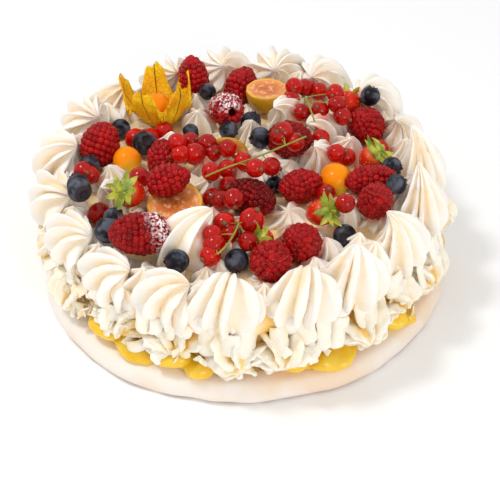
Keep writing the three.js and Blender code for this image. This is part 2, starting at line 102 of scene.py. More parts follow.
def drawn_up(obj, profile, twist=0.0, wind=1.0):
    """Extrudes an outline through (radius, height) pairs, in millimetres. It turns by twist degrees
    on the way, more towards the top where wind is above 1."""
    radius, foot = profile[0]
    top = profile[-1][1]
    obj.data.transform(shifted(0, 0, foot) @ Matrix.Diagonal((radius, radius, 1, 1)))
    opened(obj)
    rise, middle = 0.0, Vector((0, 0, foot))
    for next_radius, height in profile[1:]:
        next_rise = max((height - foot) / (top - foot), 0)
        step = Vector((0, 0, height)) - middle
        middle += step
        bpy.ops.mesh.extrude_region_move(TRANSFORM_OT_translate={"value": step})
        share = max(next_radius, 1e-3) / max(radius, 1e-3)
        bpy.ops.transform.resize(value=(share, share, 1), center_override=middle)
        turn = math.radians(twist) * (next_rise**wind - rise**wind)
        if turn:
            bpy.ops.transform.rotate(value=-turn, orient_axis="Z", center_override=middle)
        radius, rise = next_radius, next_rise
    if radius < 0.01:
        bpy.ops.mesh.merge(type="CENTER")
    return closed(obj)


def finished(obj, kind, **settings):
    """Adds a modifier, sets it and applies it."""
    alone(obj)
    made = obj.modifiers.new("finish", kind)
    for key, value in settings.items():
        setattr(made, key, value)
    bpy.ops.object.modifier_apply(modifier=made.name)
    return obj


def without_ends(obj):
    """Opens a form for editing and takes out its flat ends."""
    opened(obj, "DESELECT")
    bpy.ops.mesh.select_face_by_sides(number=8, type="GREATER")
    bpy.ops.mesh.delete(type="ONLY_FACE")


def smoothed(obj, levels=1):
    """Rounds a form. Its flat ends are taken out first, and filled again."""
    without_ends(obj)
    finished(closed(obj), "SUBSURF", levels=levels, render_levels=levels)
    opened(obj)
    bpy.ops.mesh.fill_holes(sides=0)
    return closed(obj)


def as_one(forms, name):
    """Joins forms to one piece."""
    bpy.ops.object.select_all(action="DESELECT")
    for form in forms:
        form.select_set(True)
    bpy.context.view_layer.objects.active = forms[0]
    if len(forms) > 1:
        bpy.ops.object.join()
    whole = bpy.context.object
    whole.name = whole.data.name = name
    return whole


def of_the_cake(piece, finish, slot, *nodes):
    """Takes a piece from the cake's own millimetres to its place in metres, with its faces outwards,
    gives it its finish, and lets it stand for its CAD nodes."""
    alone(piece)
    piece.data.transform(Matrix.Scale(MM, 4) @ Matrix.Translation(CAKE_SHIFT) @ piece.matrix_world)
    piece.matrix_world = Matrix()
    opened(piece)
    bpy.ops.mesh.normals_make_consistent(inside=False)
    closed(piece)
    bpy.ops.object.shade_smooth()
    piece.data.materials.clear()
    piece.data.materials.append(finish)
    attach(piece, "root")
    if nodes:
        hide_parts(*nodes)
    return piece


def new_node(tree, kind, **settings):
    made = tree.nodes.new("ShaderNode" + kind)
    for key, value in settings.items():
        setattr(made, key, value)
    return made


def node(kind, inputs, **settings):
    """A shader node in the tree of what feeds it. Its inputs are numbers, colours or sockets."""
    fed_by = {key: value for key, value in inputs.items() if isinstance(value, bpy.types.NodeSocket)}
    tree = next(iter(fed_by.values())).id_data
    made = new_node(tree, kind, **settings)
    for key, value in inputs.items():
        if key in fed_by:
            tree.links.new(value, made.inputs[key])
        else:
            made.inputs[key].default_value = value
    return made


def between(value, low, high):
    """0 at low, 1 at high, and a soft change between."""
    inputs = {"Value": value, "From Min": low, "From Max": high}
    return node("MapRange", inputs, interpolation_type="SMOOTHSTEP").outputs[0]


def blended(share, first, second):
    """A colour between two, given as numbers or as sockets."""
    first, second = ((*value, 1) if isinstance(value, tuple) else value for value in (first, second))
    return node("Mix", {0: share, 6: first, 7: second}, data_type="RGBA").outputs[2]


def reckoned(operation, first, second=0.0):
    """A number worked out from one or two others."""
    return node("Math", {0: first, 1: second}, operation=operation).outputs[0]


def product(first, second):
    """Two masks together, or one made weaker."""
    return reckoned("MULTIPLY", first, second)


# Food is uneven all over: Height is the plain lumpy value, and Mask picks out patches of it.
mottle = bpy.data.node_groups.new("mottle", "ShaderNodeTree")
mottle.interface.new_socket("Vector", in_out="INPUT", socket_type="NodeSocketVector")
for name in ("Scale", "Detail", "Low", "High"):
    mottle.interface.new_socket(name, in_out="INPUT", socket_type="NodeSocketFloat")
for name in ("Mask", "Height"):
    mottle.interface.new_socket(name, in_out="OUTPUT", socket_type="NodeSocketFloat")
given, wanted = mottle.nodes.new("NodeGroupInput").outputs, mottle.nodes.new("NodeGroupOutput").inputs
lumpy = node("TexNoise", {key: given[key] for key in ("Vector", "Scale", "Detail")}).outputs[0]
mottle.links.new(lumpy, wanted["Height"])
mottle.links.new(between(lumpy, given["Low"], given["High"]), wanted["Mask"])


def lumps_in(where, scale, detail=3.0):
    """Soft lumps, about as many to the metre as the scale says."""
    inputs = {"Vector": where, "Scale": scale, "Detail": detail}
    return node("Group", inputs, node_tree=mottle).outputs["Height"]


def patches_in(where, scale, low, high, detail=3.0):
    """The same lumps as patches, which begin at low and are full at high."""
    inputs = {"Vector": where, "Scale": scale, "Detail": detail, "Low": low, "High": high}
    return node("Group", inputs, node_tree=mottle).outputs["Mask"]


def finish_of(name, soft=(), coat=(), **sockets):
    """A material, its shader and its coordinates. What is the same all over is set on the shader: how
    much light goes under the skin, how far and in which colour, the weight and roughness of a clear
    coat, and the rest by name."""
    made = bpy.data.materials.new(name)
    made.use_nodes = True
    shader = made.node_tree.nodes["Principled BSDF"]
    sockets |= zip(("Subsurface_Weight", "Subsurface_Scale", "Subsurface_Radius"), soft)
    sockets |= zip(("Coat_Weight", "Coat_Roughness"), coat)
    for key, value in sockets.items():
        shader.inputs[key.replace("_", " ")].default_value = value
    return made, shader, new_node(made.node_tree, "TexCoord").outputs["Object"]


def fed(shader, name, value):
    """Lets a value or colour that changes over the surface feed the shader."""
    shader.id_data.links.new(value, shader.inputs[name])


def coloured(shader, colour):
    fed(shader, "Base Color", colour)


def raised_by(shader, height, distance, strength=1.0):
    """Lets a value stand out as fine relief, by a distance in metres."""
    bump = node("Bump", {"Height": height, "Distance": distance, "Strength": strength})
    fed(shader, "Normal", bump.outputs[0])


disc_finish, shader, where = finish_of(
    "disc_meringue", soft=(0.1, 0.004, (1.0, 0.6, 0.4)), Roughness=0.6
)
body = blended(patches_in(where, 24, 0.42, 0.66), DISC_PALE, DISC_TAN)
height = node("SeparateXYZ", {0: where}).outputs[2]
# Towards the foot the disc is darker brown, in patches.
edge = product(between(height, 0.0028, 0.0004), patches_in(where, 60, 0.3, 0.6))
coloured(shader, blended(edge, body, DISC_BROWN))
raised_by(shader, lumps_in(where, 240, 5), 0.0007, 0.5)

base = drawn_up(flat_ring(150), scaled(BASE_OUTLINE, BASE_RADIUS))
for corner in base.data.vertices:
    angle = math.atan2(corner.co.y, corner.co.x)
    run = 1.2 * math.sin(2 * angle + 0.6) + 0.8 * math.sin(5 * angle) + 0.5 * math.sin(11 * angle)
    run += 1.3 * noise.noise(Vector((9 * math.cos(angle), 9 * math.sin(angle), corner.co.z * 0.15)))
    corner.co.xy *= 1 + run / BASE_RADIUS
of_the_cake(as_one([smoothed(base, 2)], "bottom_disc"), disc_finish, "meringue", "meringue_base")

# The curd is a cooked lemon filling, glossy and thick. It is spread on the disc, and the weight of
# the cream pushes it out in broad tongues that fold over one another.
CURD_RADIUS = 111
CURD_REACH = 9
CURD_TOP = 20
CURD_RIM = [(0.93, 13.6), (0.95, 15), (0.955, 17), (0.94, 19), (0.9, CURD_TOP), (0.8, CURD_TOP)]
# The tongues, each as the middle and half the width of its spread, in degrees round the cake.
CURD_TONGUES = [
    (-130, 14), (-107, 10), (-69, 13), (-40, 8), (-8, 9), (28, 12), (66, 9), (101, 13), (142, 10), (176, 9),
]
TONGUE_LENGTH = 13
TONGUE_THICKNESS = 5.4
LEMON_DEEP, LEMON_BRIGHT = (0.84, 0.48, 0.004), (0.92, 0.62, 0.035)


def uneven(n):
    """A repeatable uneven value from -1 to 1 for the whole number n."""
    wave = math.sin(12.9898 * n + 4.1414) * 43758.5453
    return 2 * (wave - math.floor(wave)) - 1


def in_tongue(angle):
    """1 in the middle of a tongue of curd and 0 beside it."""
    share = 0.0
    for middle, half in CURD_TONGUES:
        turn = math.radians(middle) - angle
        away = abs(math.atan2(math.sin(turn), math.cos(turn))) / math.radians(half)
        if away < 1:
            share = max(share, math.cos(away * math.pi / 2) ** 0.6)
    return share


def curd_edge(angle):
    return CURD_RADIUS + CURD_REACH * in_tongue(angle)


def turned(angle, axis="Z"):
    return Matrix.Rotation(angle, 4, axis)


def roughened(obj, strength, size, depth=2):
    """Pushes the surface in and out by up to half the strength, in lumps of the given size."""
    lumps = bpy.data.textures.new("lumps", "CLOUDS")
    lumps.noise_scale = size
    lumps.noise_depth = depth
    return finished(obj, "DISPLACE", texture=lumps, strength=strength, mid_level=0.5)


curd_finish, shader, where = finish_of(
    "lemon_curd", soft=(0.3, 0.004, (1.0, 0.6, 0.1)), coat=(0.2, 0.15), Roughness=0.3
)
coloured(shader, blended(patches_in(where, 60, 0.35, 0.7), LEMON_DEEP, LEMON_BRIGHT))
raised_by(shader, lumps_in(where, 150), 0.001, 0.4)

layer = drawn_up(flat_ring(176), CURD_RIM)
for corner in layer.data.vertices:
    corner.co.xy *= curd_edge(math.atan2(corner.co.y, corner.co.x))
tongues = [smoothed(layer)]
# A tongue has two folds side by side, the second lower and a little further out.
for number, (middle, half) in enumerate(CURD_TONGUES):
    for step in range(2):
        seed = 10 * number + step
        angle = math.radians(middle + half * (0.4 * (2 * step - 1) + 0.2 * uneven(seed + 400)))
        tongue = added(bpy.ops.mesh.primitive_uv_sphere_add, segments=28, ring_count=16, radius=1)
        for corner in tongue.data.vertices:
            corner.co.z += 0.22 * math.sin(4 * corner.co.y + 3 * corner.co.x + seed)
        long, wide = TONGUE_LENGTH + uneven(seed + 410), 1.15 * half + 2 * uneven(seed + 420)
        lie = turned(angle) @ shifted(curd_edge(angle) - long + 1 + 1.5 * step, 0, 23.5 - 4 * step)
        lie = lie @ turned(math.radians(9 + 5 * uneven(seed + 440)), "Y")
        lie = lie @ turned(math.radians(9 * uneven(seed + 450)), "X")
        thick = TONGUE_THICKNESS + 0.4 * uneven(seed + 425)
        tongue.data.transform(lie @ Matrix.Diagonal((long, wide, thick, 1)))
        tongues.append(tongue)
curd = roughened(as_one(tongues, "lemon_curd_tongues"), 3.0, 7)
of_the_cake(curd, curd_finish, "curd", "curd")

# The cream is whipped and piped on the curd with a wide star nozzle. Each of its shells points
# outwards, and its thin blades tore along their edges as the nozzle was drawn off. Short ribbons
# hang between the shells and the crown, and scraps broke off, most of them on the left.
CREAM_RADIUS = 108
CREAM_TOP = 44
SHELL_COUNT = 19
SHELL_RADIUS = 15.5
SHELL_LENGTH = 25
SHELL_TIP_RADIUS = 121
SHELL_OUTLINE = [
    (0.8, -0.06), (1.0, 0.12), (1.05, 0.3), (1.04, 0.5), (0.97, 0.68), (0.82, 0.83), (0.58, 0.93),
    (0.28, 0.98), (0, 1),
]
# One ridge of a piped star, as degrees round the ridge and a share of the radius.
THIN_BLADE = [(0, 1.22), (38, 1.04), (95, 0.66), (180, 0.36), (265, 0.66), (322, 1.04)]
RIBBON_COUNT = 58
RIBBON_WIDTH = 6
RIBBON_LENGTH = 15
FLAKE_COUNT = 230
LEFT_FLAKES = 150
# The darker tone is painted shade; the soaked tone is real curd stain, painted stronger in the folds as
# shade.
CREAM_WHITE, CREAM_PAINTED_SHADE, CREAM_STAIN_AND_SHADE = (1.0, 0.94, 0.82), (1.0, 0.70, 0.25), (0.94, 0.60, 0.10)


def star(radius, height, outline, ridges, ridge, twist, lean=(0, 0), wind=1.0, seed=0):
    """A piped star in millimetres, foot down, bent over so that its tip lies aside by lean. Its groove
    attribute is highest in the grooves."""
    sides, parts = len(ridge), 60
    form = flat_ring(sides * ridges)
    in_groove = form.data.attributes.new("groove", "FLOAT", "POINT")
    for number, corner in enumerate(form.data.vertices):
        along, out = ridge[number % sides]
        own = seed + (number // sides + (along >= 180)) % ridges
        sway, swell = (0.2 * uneven(own), 0.08 * uneven(own + 50)) if along != 180 else (0, 0)
        angle = math.tau * (number // sides + along / 360 + sway) / ridges
        out *= 1 + swell
        corner.co = Vector((out * math.cos(angle), out * math.sin(angle), 0))
        # The groove attribute sets where the finishes paint shade.
        in_groove.data[number].value = 1.0 if along == 180 else 0.3 if 90 <= along <= 270 else 0.0
    bend = min(3 * Vector(lean).length / height, 1.9)
    length = height / (1 - bend**2 / 10)
    drawn_up(form, scaled(outline, radius, length), twist, wind)
    if bend:
        way = Vector(lean).normalized()
        spine = [Vector((0, 0))]
        for step in range(parts):
            angle = bend * ((step + 0.5) / parts) ** 2
            spine.append(spine[-1] + length / parts * Vector((math.sin(angle), math.cos(angle))))
        for corner in form.data.vertices:
            rise = min(max(corner.co.z / length, 0), 1)
            aside = corner.co.xy.dot(way)
            across = corner.co.xy - aside * way
            step = min(int(rise * parts), parts - 1)
            middle = spine[step].lerp(spine[step + 1], rise * parts - step)
            angle = bend * rise**2
            placed = across + way * (middle.x + aside * math.cos(angle))
            sunk = min(corner.co.z, 0)
            corner.co = Vector((placed.x, placed.y, middle.y + sunk - aside * math.sin(angle)))
    return form


def marked(obj, name, value):
    """Writes an attribute on a form: one value all over, or what a rule gives for each corner's place."""
    made = obj.data.attributes.get(name) or obj.data.attributes.new(name, "FLOAT", "POINT")
    corners = [corner.co for corner in obj.data.vertices]
    made.data.foreach_set("value", [value(at) if callable(value) else value for at in corners])
    return obj


def mark_of(where, name):
    """What a form's own attribute says at each spot."""
    return new_node(where.id_data, "Attribute", attribute_name=name).outputs["Fac"]


def scrap(lie, size, chance):
    """A torn flake, curled a little."""
    flake = added(bpy.ops.mesh.primitive_grid_add, x_subdivisions=4, y_subdivisions=3, size=1)
    bend = chance.uniform(-1.2, 1.2)
    for corner in flake.data.vertices:
        x, y = corner.co.x, corner.co.y
        torn = [chance.uniform(-reach, reach) for reach in (0.12, 0.12, 0.1)]
        corner.co = size * Vector((x + torn[0], 0.6 * y + torn[1], bend * x * x + torn[2]))
    flake.data.transform(lie)
    finished(flake, "SOLIDIFY", thickness=0.9)
    return marked(flake, "groove", chance.uniform(0, 0.35))


cream_finish, shader, where = finish_of(
    "whipped_cream", soft=(0.15, 0.003, (1.0, 0.75, 0.45)), Roughness=0.45
)
# Shade is painted into the cream: it is darker and yellower down in its folds and behind them. Patches of
# real curd stain are painted far stronger in the folds, as shade too.
flat_place = node("VectorMath", {0: where, 1: (1, 1, 0)}, operation="MULTIPLY").outputs[0]
from_axis = node("VectorMath", {0: flat_place}, operation="LENGTH").outputs["Value"]
inside = reckoned("SUBTRACT", 1, between(from_axis, 0.105, 0.115))
deep = reckoned("MAXIMUM", mark_of(where, "groove"), inside)
body = blended(between(deep, 0.2, 1.0), CREAM_WHITE, CREAM_PAINTED_SHADE)
soaked = patches_in(where, 60, 0.42, 0.62)
share = product(soaked, reckoned("ADD", deep, 0.12))
coloured(shader, blended(share, body, CREAM_STAIN_AND_SHADE))
raised_by(shader, lumps_in(where, 420, 5), 0.0006, 0.5)

low, high = BASE_TOP + 0.3, CREAM_TOP
# The flat wall behind the shells, as how far it lies inside the cream's edge and its height.
wall = [(5, low), (3, low + 6), (2, high - 4), (2, high), (28, high)]
wall = drawn_up(flat_ring(114), [(CREAM_RADIUS - inward, height) for inward, height in wall])
# The wall is marked so that shade is painted on it.
shells = [smoothed(marked(wall, "groove", 0.8), 2)]
for i in range(SHELL_COUNT):
    form = star(
        1.16 * (SHELL_RADIUS + 1.2 * uneven(i + 220)), SHELL_LENGTH + 2 * uneven(i + 240), SHELL_OUTLINE, 8,
        THIN_BLADE, 60 * uneven(i + 260), (4 + 3 * uneven(i + 280), 5 * uneven(i + 300)),
    )
    angle = math.tau * (i + 0.3 * uneven(i + 200)) / SHELL_COUNT
    lie = turned(angle) @ shifted(0, 0, (low + high) / 2 + 1.5 * uneven(i + 320))
    form.data.transform(lie @ turned(math.pi / 2, "Y") @ shifted(0, 0, SHELL_TIP_RADIUS - SHELL_LENGTH))
    # Over a tongue of curd the cream is lifted and held back.
    for corner in form.data.vertices:
        share = in_tongue(math.atan2(corner.co.y, corner.co.x))
        corner.co.z = min(max(corner.co.z, low + 1.5 + 10 * share), high + 1)
        corner.co.xy *= 1 - 0.065 * share * min(max((36 - corner.co.z) / 12, 0), 1)
    shells.append(smoothed(form, 2 if math.sin(angle) < 0.2 else 1))
cream = roughened(roughened(as_one(shells, "cream_shells"), 3.4, 5), 1.1, 1.8)
ribbons = []
for i in range(RIBBON_COUNT):
    ribbon = added(bpy.ops.mesh.primitive_grid_add, x_subdivisions=6, y_subdivisions=4, size=2)
    wide, long = RIBBON_WIDTH + 2 * uneven(i + 500), RIBBON_LENGTH + 5 * uneven(i + 520)
    for corner in ribbon.data.vertices:
        across, down = corner.co.x, (corner.co.y + 1) / 2
        corner.co = (4.5 * down**2 - 0.45 * wide * across**2, wide * across * (1 - 0.12 * down), -long * down)
    finished(ribbon, "SOLIDIFY", thickness=2, offset=0)
    lie = turned(math.tau * (i + 0.4 * uneven(i + 560)) / RIBBON_COUNT)
    lie = lie @ shifted(113 + 2 * uneven(i + 580), 0, 52 + 4 * uneven(i + 600))
    lie = lie @ turned(math.radians(14 * uneven(i + 620)), "X") @ turned(math.radians(30 * uneven(i + 640)))
    ribbon.data.transform(lie)
    ribbons.append(marked(smoothed(ribbon), "groove", 0.0))
ribbons = roughened(as_one(ribbons, "cream_ribbons"), 1.8, 4)
of_the_cake(cream, cream_finish, "whipped_cream", "whipped_cream")
of_the_cake(ribbons, cream_finish, "whipped_cream")

chance = random.Random(7)
flakes = []
for i in range(FLAKE_COUNT):
    left = i < LEFT_FLAKES
    angle = math.radians(chance.gauss(207, 26) if left else chance.uniform(0, 360))
    lie = turned(angle) @ shifted(chance.uniform(109, 118), 0, chance.uniform(24, 50 if left else 38))
    lie = lie @ turned(chance.uniform(0, 6.28), "X") @ turned(chance.uniform(-1.5, 1.5), "Y")
    flakes.append(scrap(lie, chance.uniform(5, 13), chance))
of_the_cake(smoothed(as_one(flakes, "cream_scraps")), cream_finish, "whipped_cream")

# The crown is a thick round of meringue, baked in one piece. A ring of large kisses is piped along
# its rim with a closed star nozzle, and smaller kisses stand on the bed inside the ring.
BED_RADIUS = 104
BED_TOP = 58
BED_RISE = 6
PLEAT_COUNT = 74
# The pleated side of the bed, as radii and heights.
PLEATS = [(108, CREAM_TOP - 1), (112.5, CREAM_TOP + 1), (114.5, 49), (114.5, 53), (112, 57), (104, 59)]
CROWN_OFFSET = Vector((-2.5, 0, 0))
RING_COUNT = 19
RING_RADIUS = 106
RING_START = -92
RING_FOOT = CREAM_TOP + 11.5
RING_RIDGES = 10
RING_KISS_RADIUS = 20.5
RING_KISS_DEPTH = 0.78
RING_KISS_HEIGHT = 33
ROUND_RIDGE = [(0, 1.13), (44, 1.1), (78, 0.98), (112, 0.7), (150, 0.52), (200, 0.6)]
# How far juice stains, in metres, as it is measured on the finished piece.
JUICE_REACH = 0.006
CRUST_WHITE, CRUST_CREAM = (0.97, 0.92, 0.85), (0.97, 0.87, 0.75)
# The gold and amber are painted shade for grooves and hollows; the juice is a real stain.
SHADE_GOLD, SHADE_AMBER, JUICE = (0.99, 0.77, 0.46), (0.96, 0.58, 0.14), (0.82, 0.20, 0.11)


def bed_height(radius):
    return BED_TOP + BED_RISE * (1 - (radius / BED_RADIUS) ** 2)


corners, faces = [], []
for name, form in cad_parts.items():
    if name.startswith(("raspberry", "currant", "strawberry")):
        faces += [[len(corners) + number for number in face.vertices] for face in form.data.polygons]
        corners += [corner.co.copy() for corner in form.data.vertices]
red_fruit = BVHTree.FromPolygons(corners, faces)


def juice_at(place):
    """1 where red fruit touches a place, so that its juice stains it, and 0 out of its reach."""
    found = red_fruit.find_nearest(place, JUICE_REACH)
    return 1 - found[3] / JUICE_REACH if found[0] else 0.0


meringue, shader, where = finish_of(
    "baked_meringue", soft=(0.15, 0.003, (1.0, 0.65, 0.4)), Roughness=0.5
)
fine = lumps_in(where, 500, 5)
body = blended(patches_in(where, 45, 0.42, 0.75), CRUST_WHITE, CRUST_CREAM)
# Grooves and hollows are painted gold and then amber, as shade.
deep = product(mark_of(where, "groove"), reckoned("ADD", lumps_in(where, 90), 0.5))
gold_shaded = blended(between(deep, 0.05, 0.55), body, SHADE_GOLD)
amber_shaded = blended(between(deep, 0.45, 1.0), gold_shaded, SHADE_AMBER)
juice = between(reckoned("ADD", mark_of(where, "juice"), lumps_in(where, 110)), 0.75, 1.3)
coloured(shader, blended(product(juice, 0.7), amber_shaded, JUICE))
fed(shader, "Roughness", between(fine, -0.6, 1.6))
raised_by(shader, fine, 0.0004, 0.5)


def of_the_crown(piece):
    """Makes a piece part of the baked crown, stained where red fruit lies on it."""
    marked(of_the_cake(piece, meringue, "meringue", "meringue_crown"), "juice", juice_at)


steps = [(BED_RADIUS - 2, CREAM_TOP + 0.3), (BED_RADIUS, CREAM_TOP + 3), (BED_RADIUS, 54)]
steps += [(r, bed_height(r)) for r in (102, 94, 84, 74, 64, 54, 44, 34, 24, 14, 6, 0)]
# The bed between the kisses is marked so that shade is painted on it.
bed = smoothed(marked(drawn_up(flat_ring(76), steps), "groove", 0.6), 2)
roughened(bed, 3.2, 7)
# Under the ring of kisses its side is piped in upright pleats, with ragged lower ends.
pleats = drawn_up(flat_ring(6 * PLEAT_COUNT), PLEATS)
in_groove = pleats.data.attributes.new("groove", "FLOAT", "POINT").data
for corner, mark in zip(pleats.data.vertices, in_groove):
    angle = math.atan2(corner.co.y, corner.co.x)
    around = PLEAT_COUNT * angle / math.tau + 0.7 * math.sin(7 * angle) + 0.4 * math.sin(16 * angle + 1)
    valley = 1 - abs(math.cos(math.pi * around)) ** 0.6
    corner.co.xy *= 1 - 0.034 * valley + 0.012 * uneven(round(around) + 1000)
    corner.co.z -= 3 * (1 + uneven(round(around) + 1100)) * max(0, (50 - corner.co.z) / 6)
    # The pleat valleys are marked so that shade is painted in them.
    mark.value = 1.1 * valley
for piece in (bed, smoothed(pleats)):
    piece.data.transform(Matrix.Translation(CROWN_OFFSET))
of_the_crown(as_one([bed, pleats], "crown_bed"))

TALL_OUTLINE = [
    (0.62, -0.06), (0.8, -0.03), (0.93, 0.05), (1.0, 0.16), (1.0, 0.29), (0.94, 0.43), (0.83, 0.55),
    (0.67, 0.67), (0.48, 0.78), (0.28, 0.88), (0.12, 0.96), (0, 1),
]
SPIRE_OUTLINE = [
    (0.62, -0.06), (0.8, -0.02), (0.9, 0.06), (0.92, 0.16), (0.86, 0.28), (0.74, 0.4), (0.59, 0.52),
    (0.43, 0.64), (0.28, 0.76), (0.16, 0.87), (0.06, 0.96), (0, 1),
]
# Which kisses have the slender outline, and where one differs from the rest: its height, its twist in
# degrees, and how far its tip leans inwards and along the ring.
SPIRES = (3, 4, 5, 6)
RING_SHAPES = {
    0: (28, 30, 9, 1), 1: (28, 35, 9, 3), 2: (36, 20, 6, 6), 3: (42, 10, 8, -4), 4: (44, 10, 5, 10),
    5: (42, 10, 5, 12), 6: (37, 20, 8, None), 12: (None, None, 3, -5), 15: (30, 40, None, 12),
    16: (26, 20, None, 18), 17: (23, 15, 6, 20), 18: (25, 15, 8, 20),
}
ring = []
for i in range(RING_COUNT):
    usual = (
        RING_KISS_HEIGHT + 2 * uneven(i + 80), 45 + 20 * uneven(i + 100), 10 + 2 * uneven(i + 20),
        4 * uneven(i + 40),
    )
    own = RING_SHAPES.get(i, usual)
    tall, twist, inward, along = (one if one is not None else other for one, other in zip(own, usual))
    height = tall + CREAM_TOP - RING_FOOT
    outline = SPIRE_OUTLINE if i in SPIRES else TALL_OUTLINE
    form = star(
        RING_KISS_RADIUS + 0.8 * uneven(i + 60), height, outline, RING_RIDGES, ROUND_RIDGE, 1.25 * twist,
        (-inward / RING_KISS_DEPTH, along), 1.7, seed=20 * i,
    )
    # The foot spreads in a lobe under each ridge.
    for corner in form.data.vertices:
        rise = corner.co.z / height
        ridge = round(RING_RIDGES * math.atan2(corner.co.y, corner.co.x) / math.tau) % RING_RIDGES
        corner.co.z -= 2.4 * max(0, 1 - rise / 0.3) ** 2 * (1 + uneven(RING_RIDGES * i + ridge + 700))
    turn = math.radians(RING_START + 360 * i / RING_COUNT + 1.5 * uneven(i))
    lie = Matrix.Translation(CROWN_OFFSET) @ turned(turn)
    lie = lie @ shifted(RING_RADIUS, 0, RING_FOOT) @ Matrix.Diagonal((RING_KISS_DEPTH, 1, 1, 1))
    form.data.transform(lie)
    ring.append(smoothed(form, 2 if i < 5 or i > 14 else 1))
half = len(ring) // 2
for name, kisses in (("ring_kisses_right", ring[:half]), ("ring_kisses_left", ring[half:])):
    of_the_crown(roughened(roughened(as_one(kisses, name), 2.2, 14), 0.8, 5))

# Where each small kiss stands, how far its tip leans, its radius and the height of its tip.
BED_KISSES = [
    ((-34, -69), (15, 9), 15, 85), ((0, -52), (0, -3), 11, 80), ((24, -38), (0, -3), 13, 72),
    ((60, 22), (2, -6), 11, 80), ((46, 10), (-6, -7), 13, 84), ((26, 50), (-8, -12), 13, 86),
    ((48, 40), (-10, -8), 12, 78), ((3, 34), (1, -4), 9, 83), ((-29, 49), (0, -6), 11, 80),
    ((-32, 68), (2, -4), 11, 78), ((-44, 28), (0, 2), 11, 75), ((-76, -8), (-2, -2), 11, 80),
    ((-74, -20), (-6, -8), 10, 78), ((-58, -5), (1, -4), 8, 73), ((-62, -43), (0, -5), 11, 76),
    ((55, -37), (2, -2), 10, 83), ((-20, -12), (0, -2), 11, 75),
]
LOW_OUTLINE = [
    (0.85, 0), (1, 0.1), (0.98, 0.24), (0.9, 0.4), (0.76, 0.56), (0.54, 0.7), (0.32, 0.83), (0.14, 0.94),
    (0, 1),
]


def middle_of(name):
    """The middle of a CAD node in the cake's own millimetres."""
    lowest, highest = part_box(name)
    return (lowest + highest) / 2 / MM - CAKE_SHIFT


small = []
for i, (at, tip, radius, top) in enumerate(BED_KISSES):
    foot = bed_height(math.hypot(*at)) - 4
    twist = 35 + 25 * uneven(i + 140)
    form = star(radius, top - foot, LOW_OUTLINE, 7, ROUND_RIDGE, twist, tip, 1.5, seed=30 * i)
    form.data.transform(shifted(at[0], at[1], foot))
    small.append(smoothed(form, 2 if i < 6 else 1))
of_the_crown(roughened(as_one(small, "bed_kisses"), 0.9, 6))

# Low kisses fill the bed wherever no fruit and no other kiss stands, and the gaps of the ring.
LOW_ROWS, LOW_COLUMNS = 12, 13
LOW_REACH = 82
LOW_RADIUS = 9.5
GAP_RADIUS = 13
GAP_SPOTS = (90, 101)
GAP_START = 95
fruit, low_ones, gap_ones = [], [], []
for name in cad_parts:
    if name.split("_")[0] not in ("meringue", "curd", "whipped") and "sprig" not in name:
        lowest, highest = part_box(name)
        fruit.append((middle_of(name).xy, (highest - lowest).x / 2 / MM, lowest.z / MM))
spots = []
for i in range(LOW_ROWS * LOW_COLUMNS):
    row, column = divmod(i, LOW_COLUMNS)
    x = 13 * (column - 6) + 6.5 * (row % 2) + 3 * uneven(i + 800)
    spots.append(Vector((x, 15 * (row - 5.5) + 3 * uneven(i + 820), 0)))
spots = [spot for spot in spots if spot.length < LOW_REACH]
for i in range(RING_COUNT):
    turn = math.radians(RING_START + 360 * (i + 0.5) / RING_COUNT)
    spots += [Vector((r * math.cos(turn), r * math.sin(turn), 0)) + CROWN_OFFSET for r in GAP_SPOTS]
for i, spot in enumerate(spots):
    if any((spot.xy - Vector(at)).length < radius + 3 for at, _, radius, _ in BED_KISSES):
        continue
    above = [lowest + 2 for at, reach, lowest in fruit if (at - spot.xy).length < reach + 2]
    in_gap = (spot - CROWN_OFFSET).length > GAP_START
    top = min([bed_height(spot.length) + (15 if in_gap else 13) + 3 * uneven(i + 840)] + above)
    foot = bed_height(spot.length) - 3
    if top - foot > 5:
        lean = (2 * uneven(i + 880), 2 * uneven(i + 900))
        wide = (GAP_RADIUS if in_gap else LOW_RADIUS) + 1.5 * uneven(i + 860)
        form = star(wide, top - foot, LOW_OUTLINE, 6, ROUND_RIDGE, 50, lean, seed=7 * i)
        form.data.transform(shifted(spot.x, spot.y, foot))
        (gap_ones if in_gap else low_ones).append(smoothed(form))
for name, kisses in (("low_kisses", low_ones), ("gap_kisses", gap_ones)):
    of_the_crown(roughened(as_one(kisses, name), 0.9, 6))

# Raspberries, put down by hand. A raspberry is a thimble of soft drupelets round a hollow core, and
# many drupelets keep a dried hair. Two of the berries are dusted with sugar.
RASPBERRY_OUTLINE = [
    (0.62, -0.5), (0.9, -0.36), (1.0, -0.14), (0.97, 0.06), (0.84, 0.24), (0.6, 0.39), (0.3, 0.48),
]
# The way its tip points, as heading and tilt in degrees, with its width and length.
RASPBERRIES = [
    (120, 12, 19, 24), (60, 60, 19, 21), (120, 110, 20, 19), (-140, 45, 21, 22), (60, 40, 23, 22),
    (-30, 70, 21, 24), (90, 70, 18, 20), (10, 80, 18, 21), (-170, 85, 18, 26), (-150, 75, 19, 23),
    (-40, 80, 21, 26), (-70, 35, 19, 21), (-165, 80, 23, 29), (-110, 40, 21, 25), (-90, 50, 22, 20),
]
# Sugar fell on one from above and on the other's end. Shades go from 0, dark red, to 1, light red.
SUGARED = {3: "above", 13: "end"}
USUAL_SHADE = 0.65
OWN_SHADES = {6: 0.3, 11: 0.0, 13: 0.35}
DRUPELET = 3.3
HAIR_SHARE = 0.4
RASPBERRY_DARK, RASPBERRY_RED, SUGAR = (0.14, 0.0005, 0.001), (0.46, 0.007, 0.008), (0.95, 0.86, 0.86)
HAIR_DARK, HAIR_PALE = (0.45, 0.16, 0.08), (0.75, 0.45, 0.25)


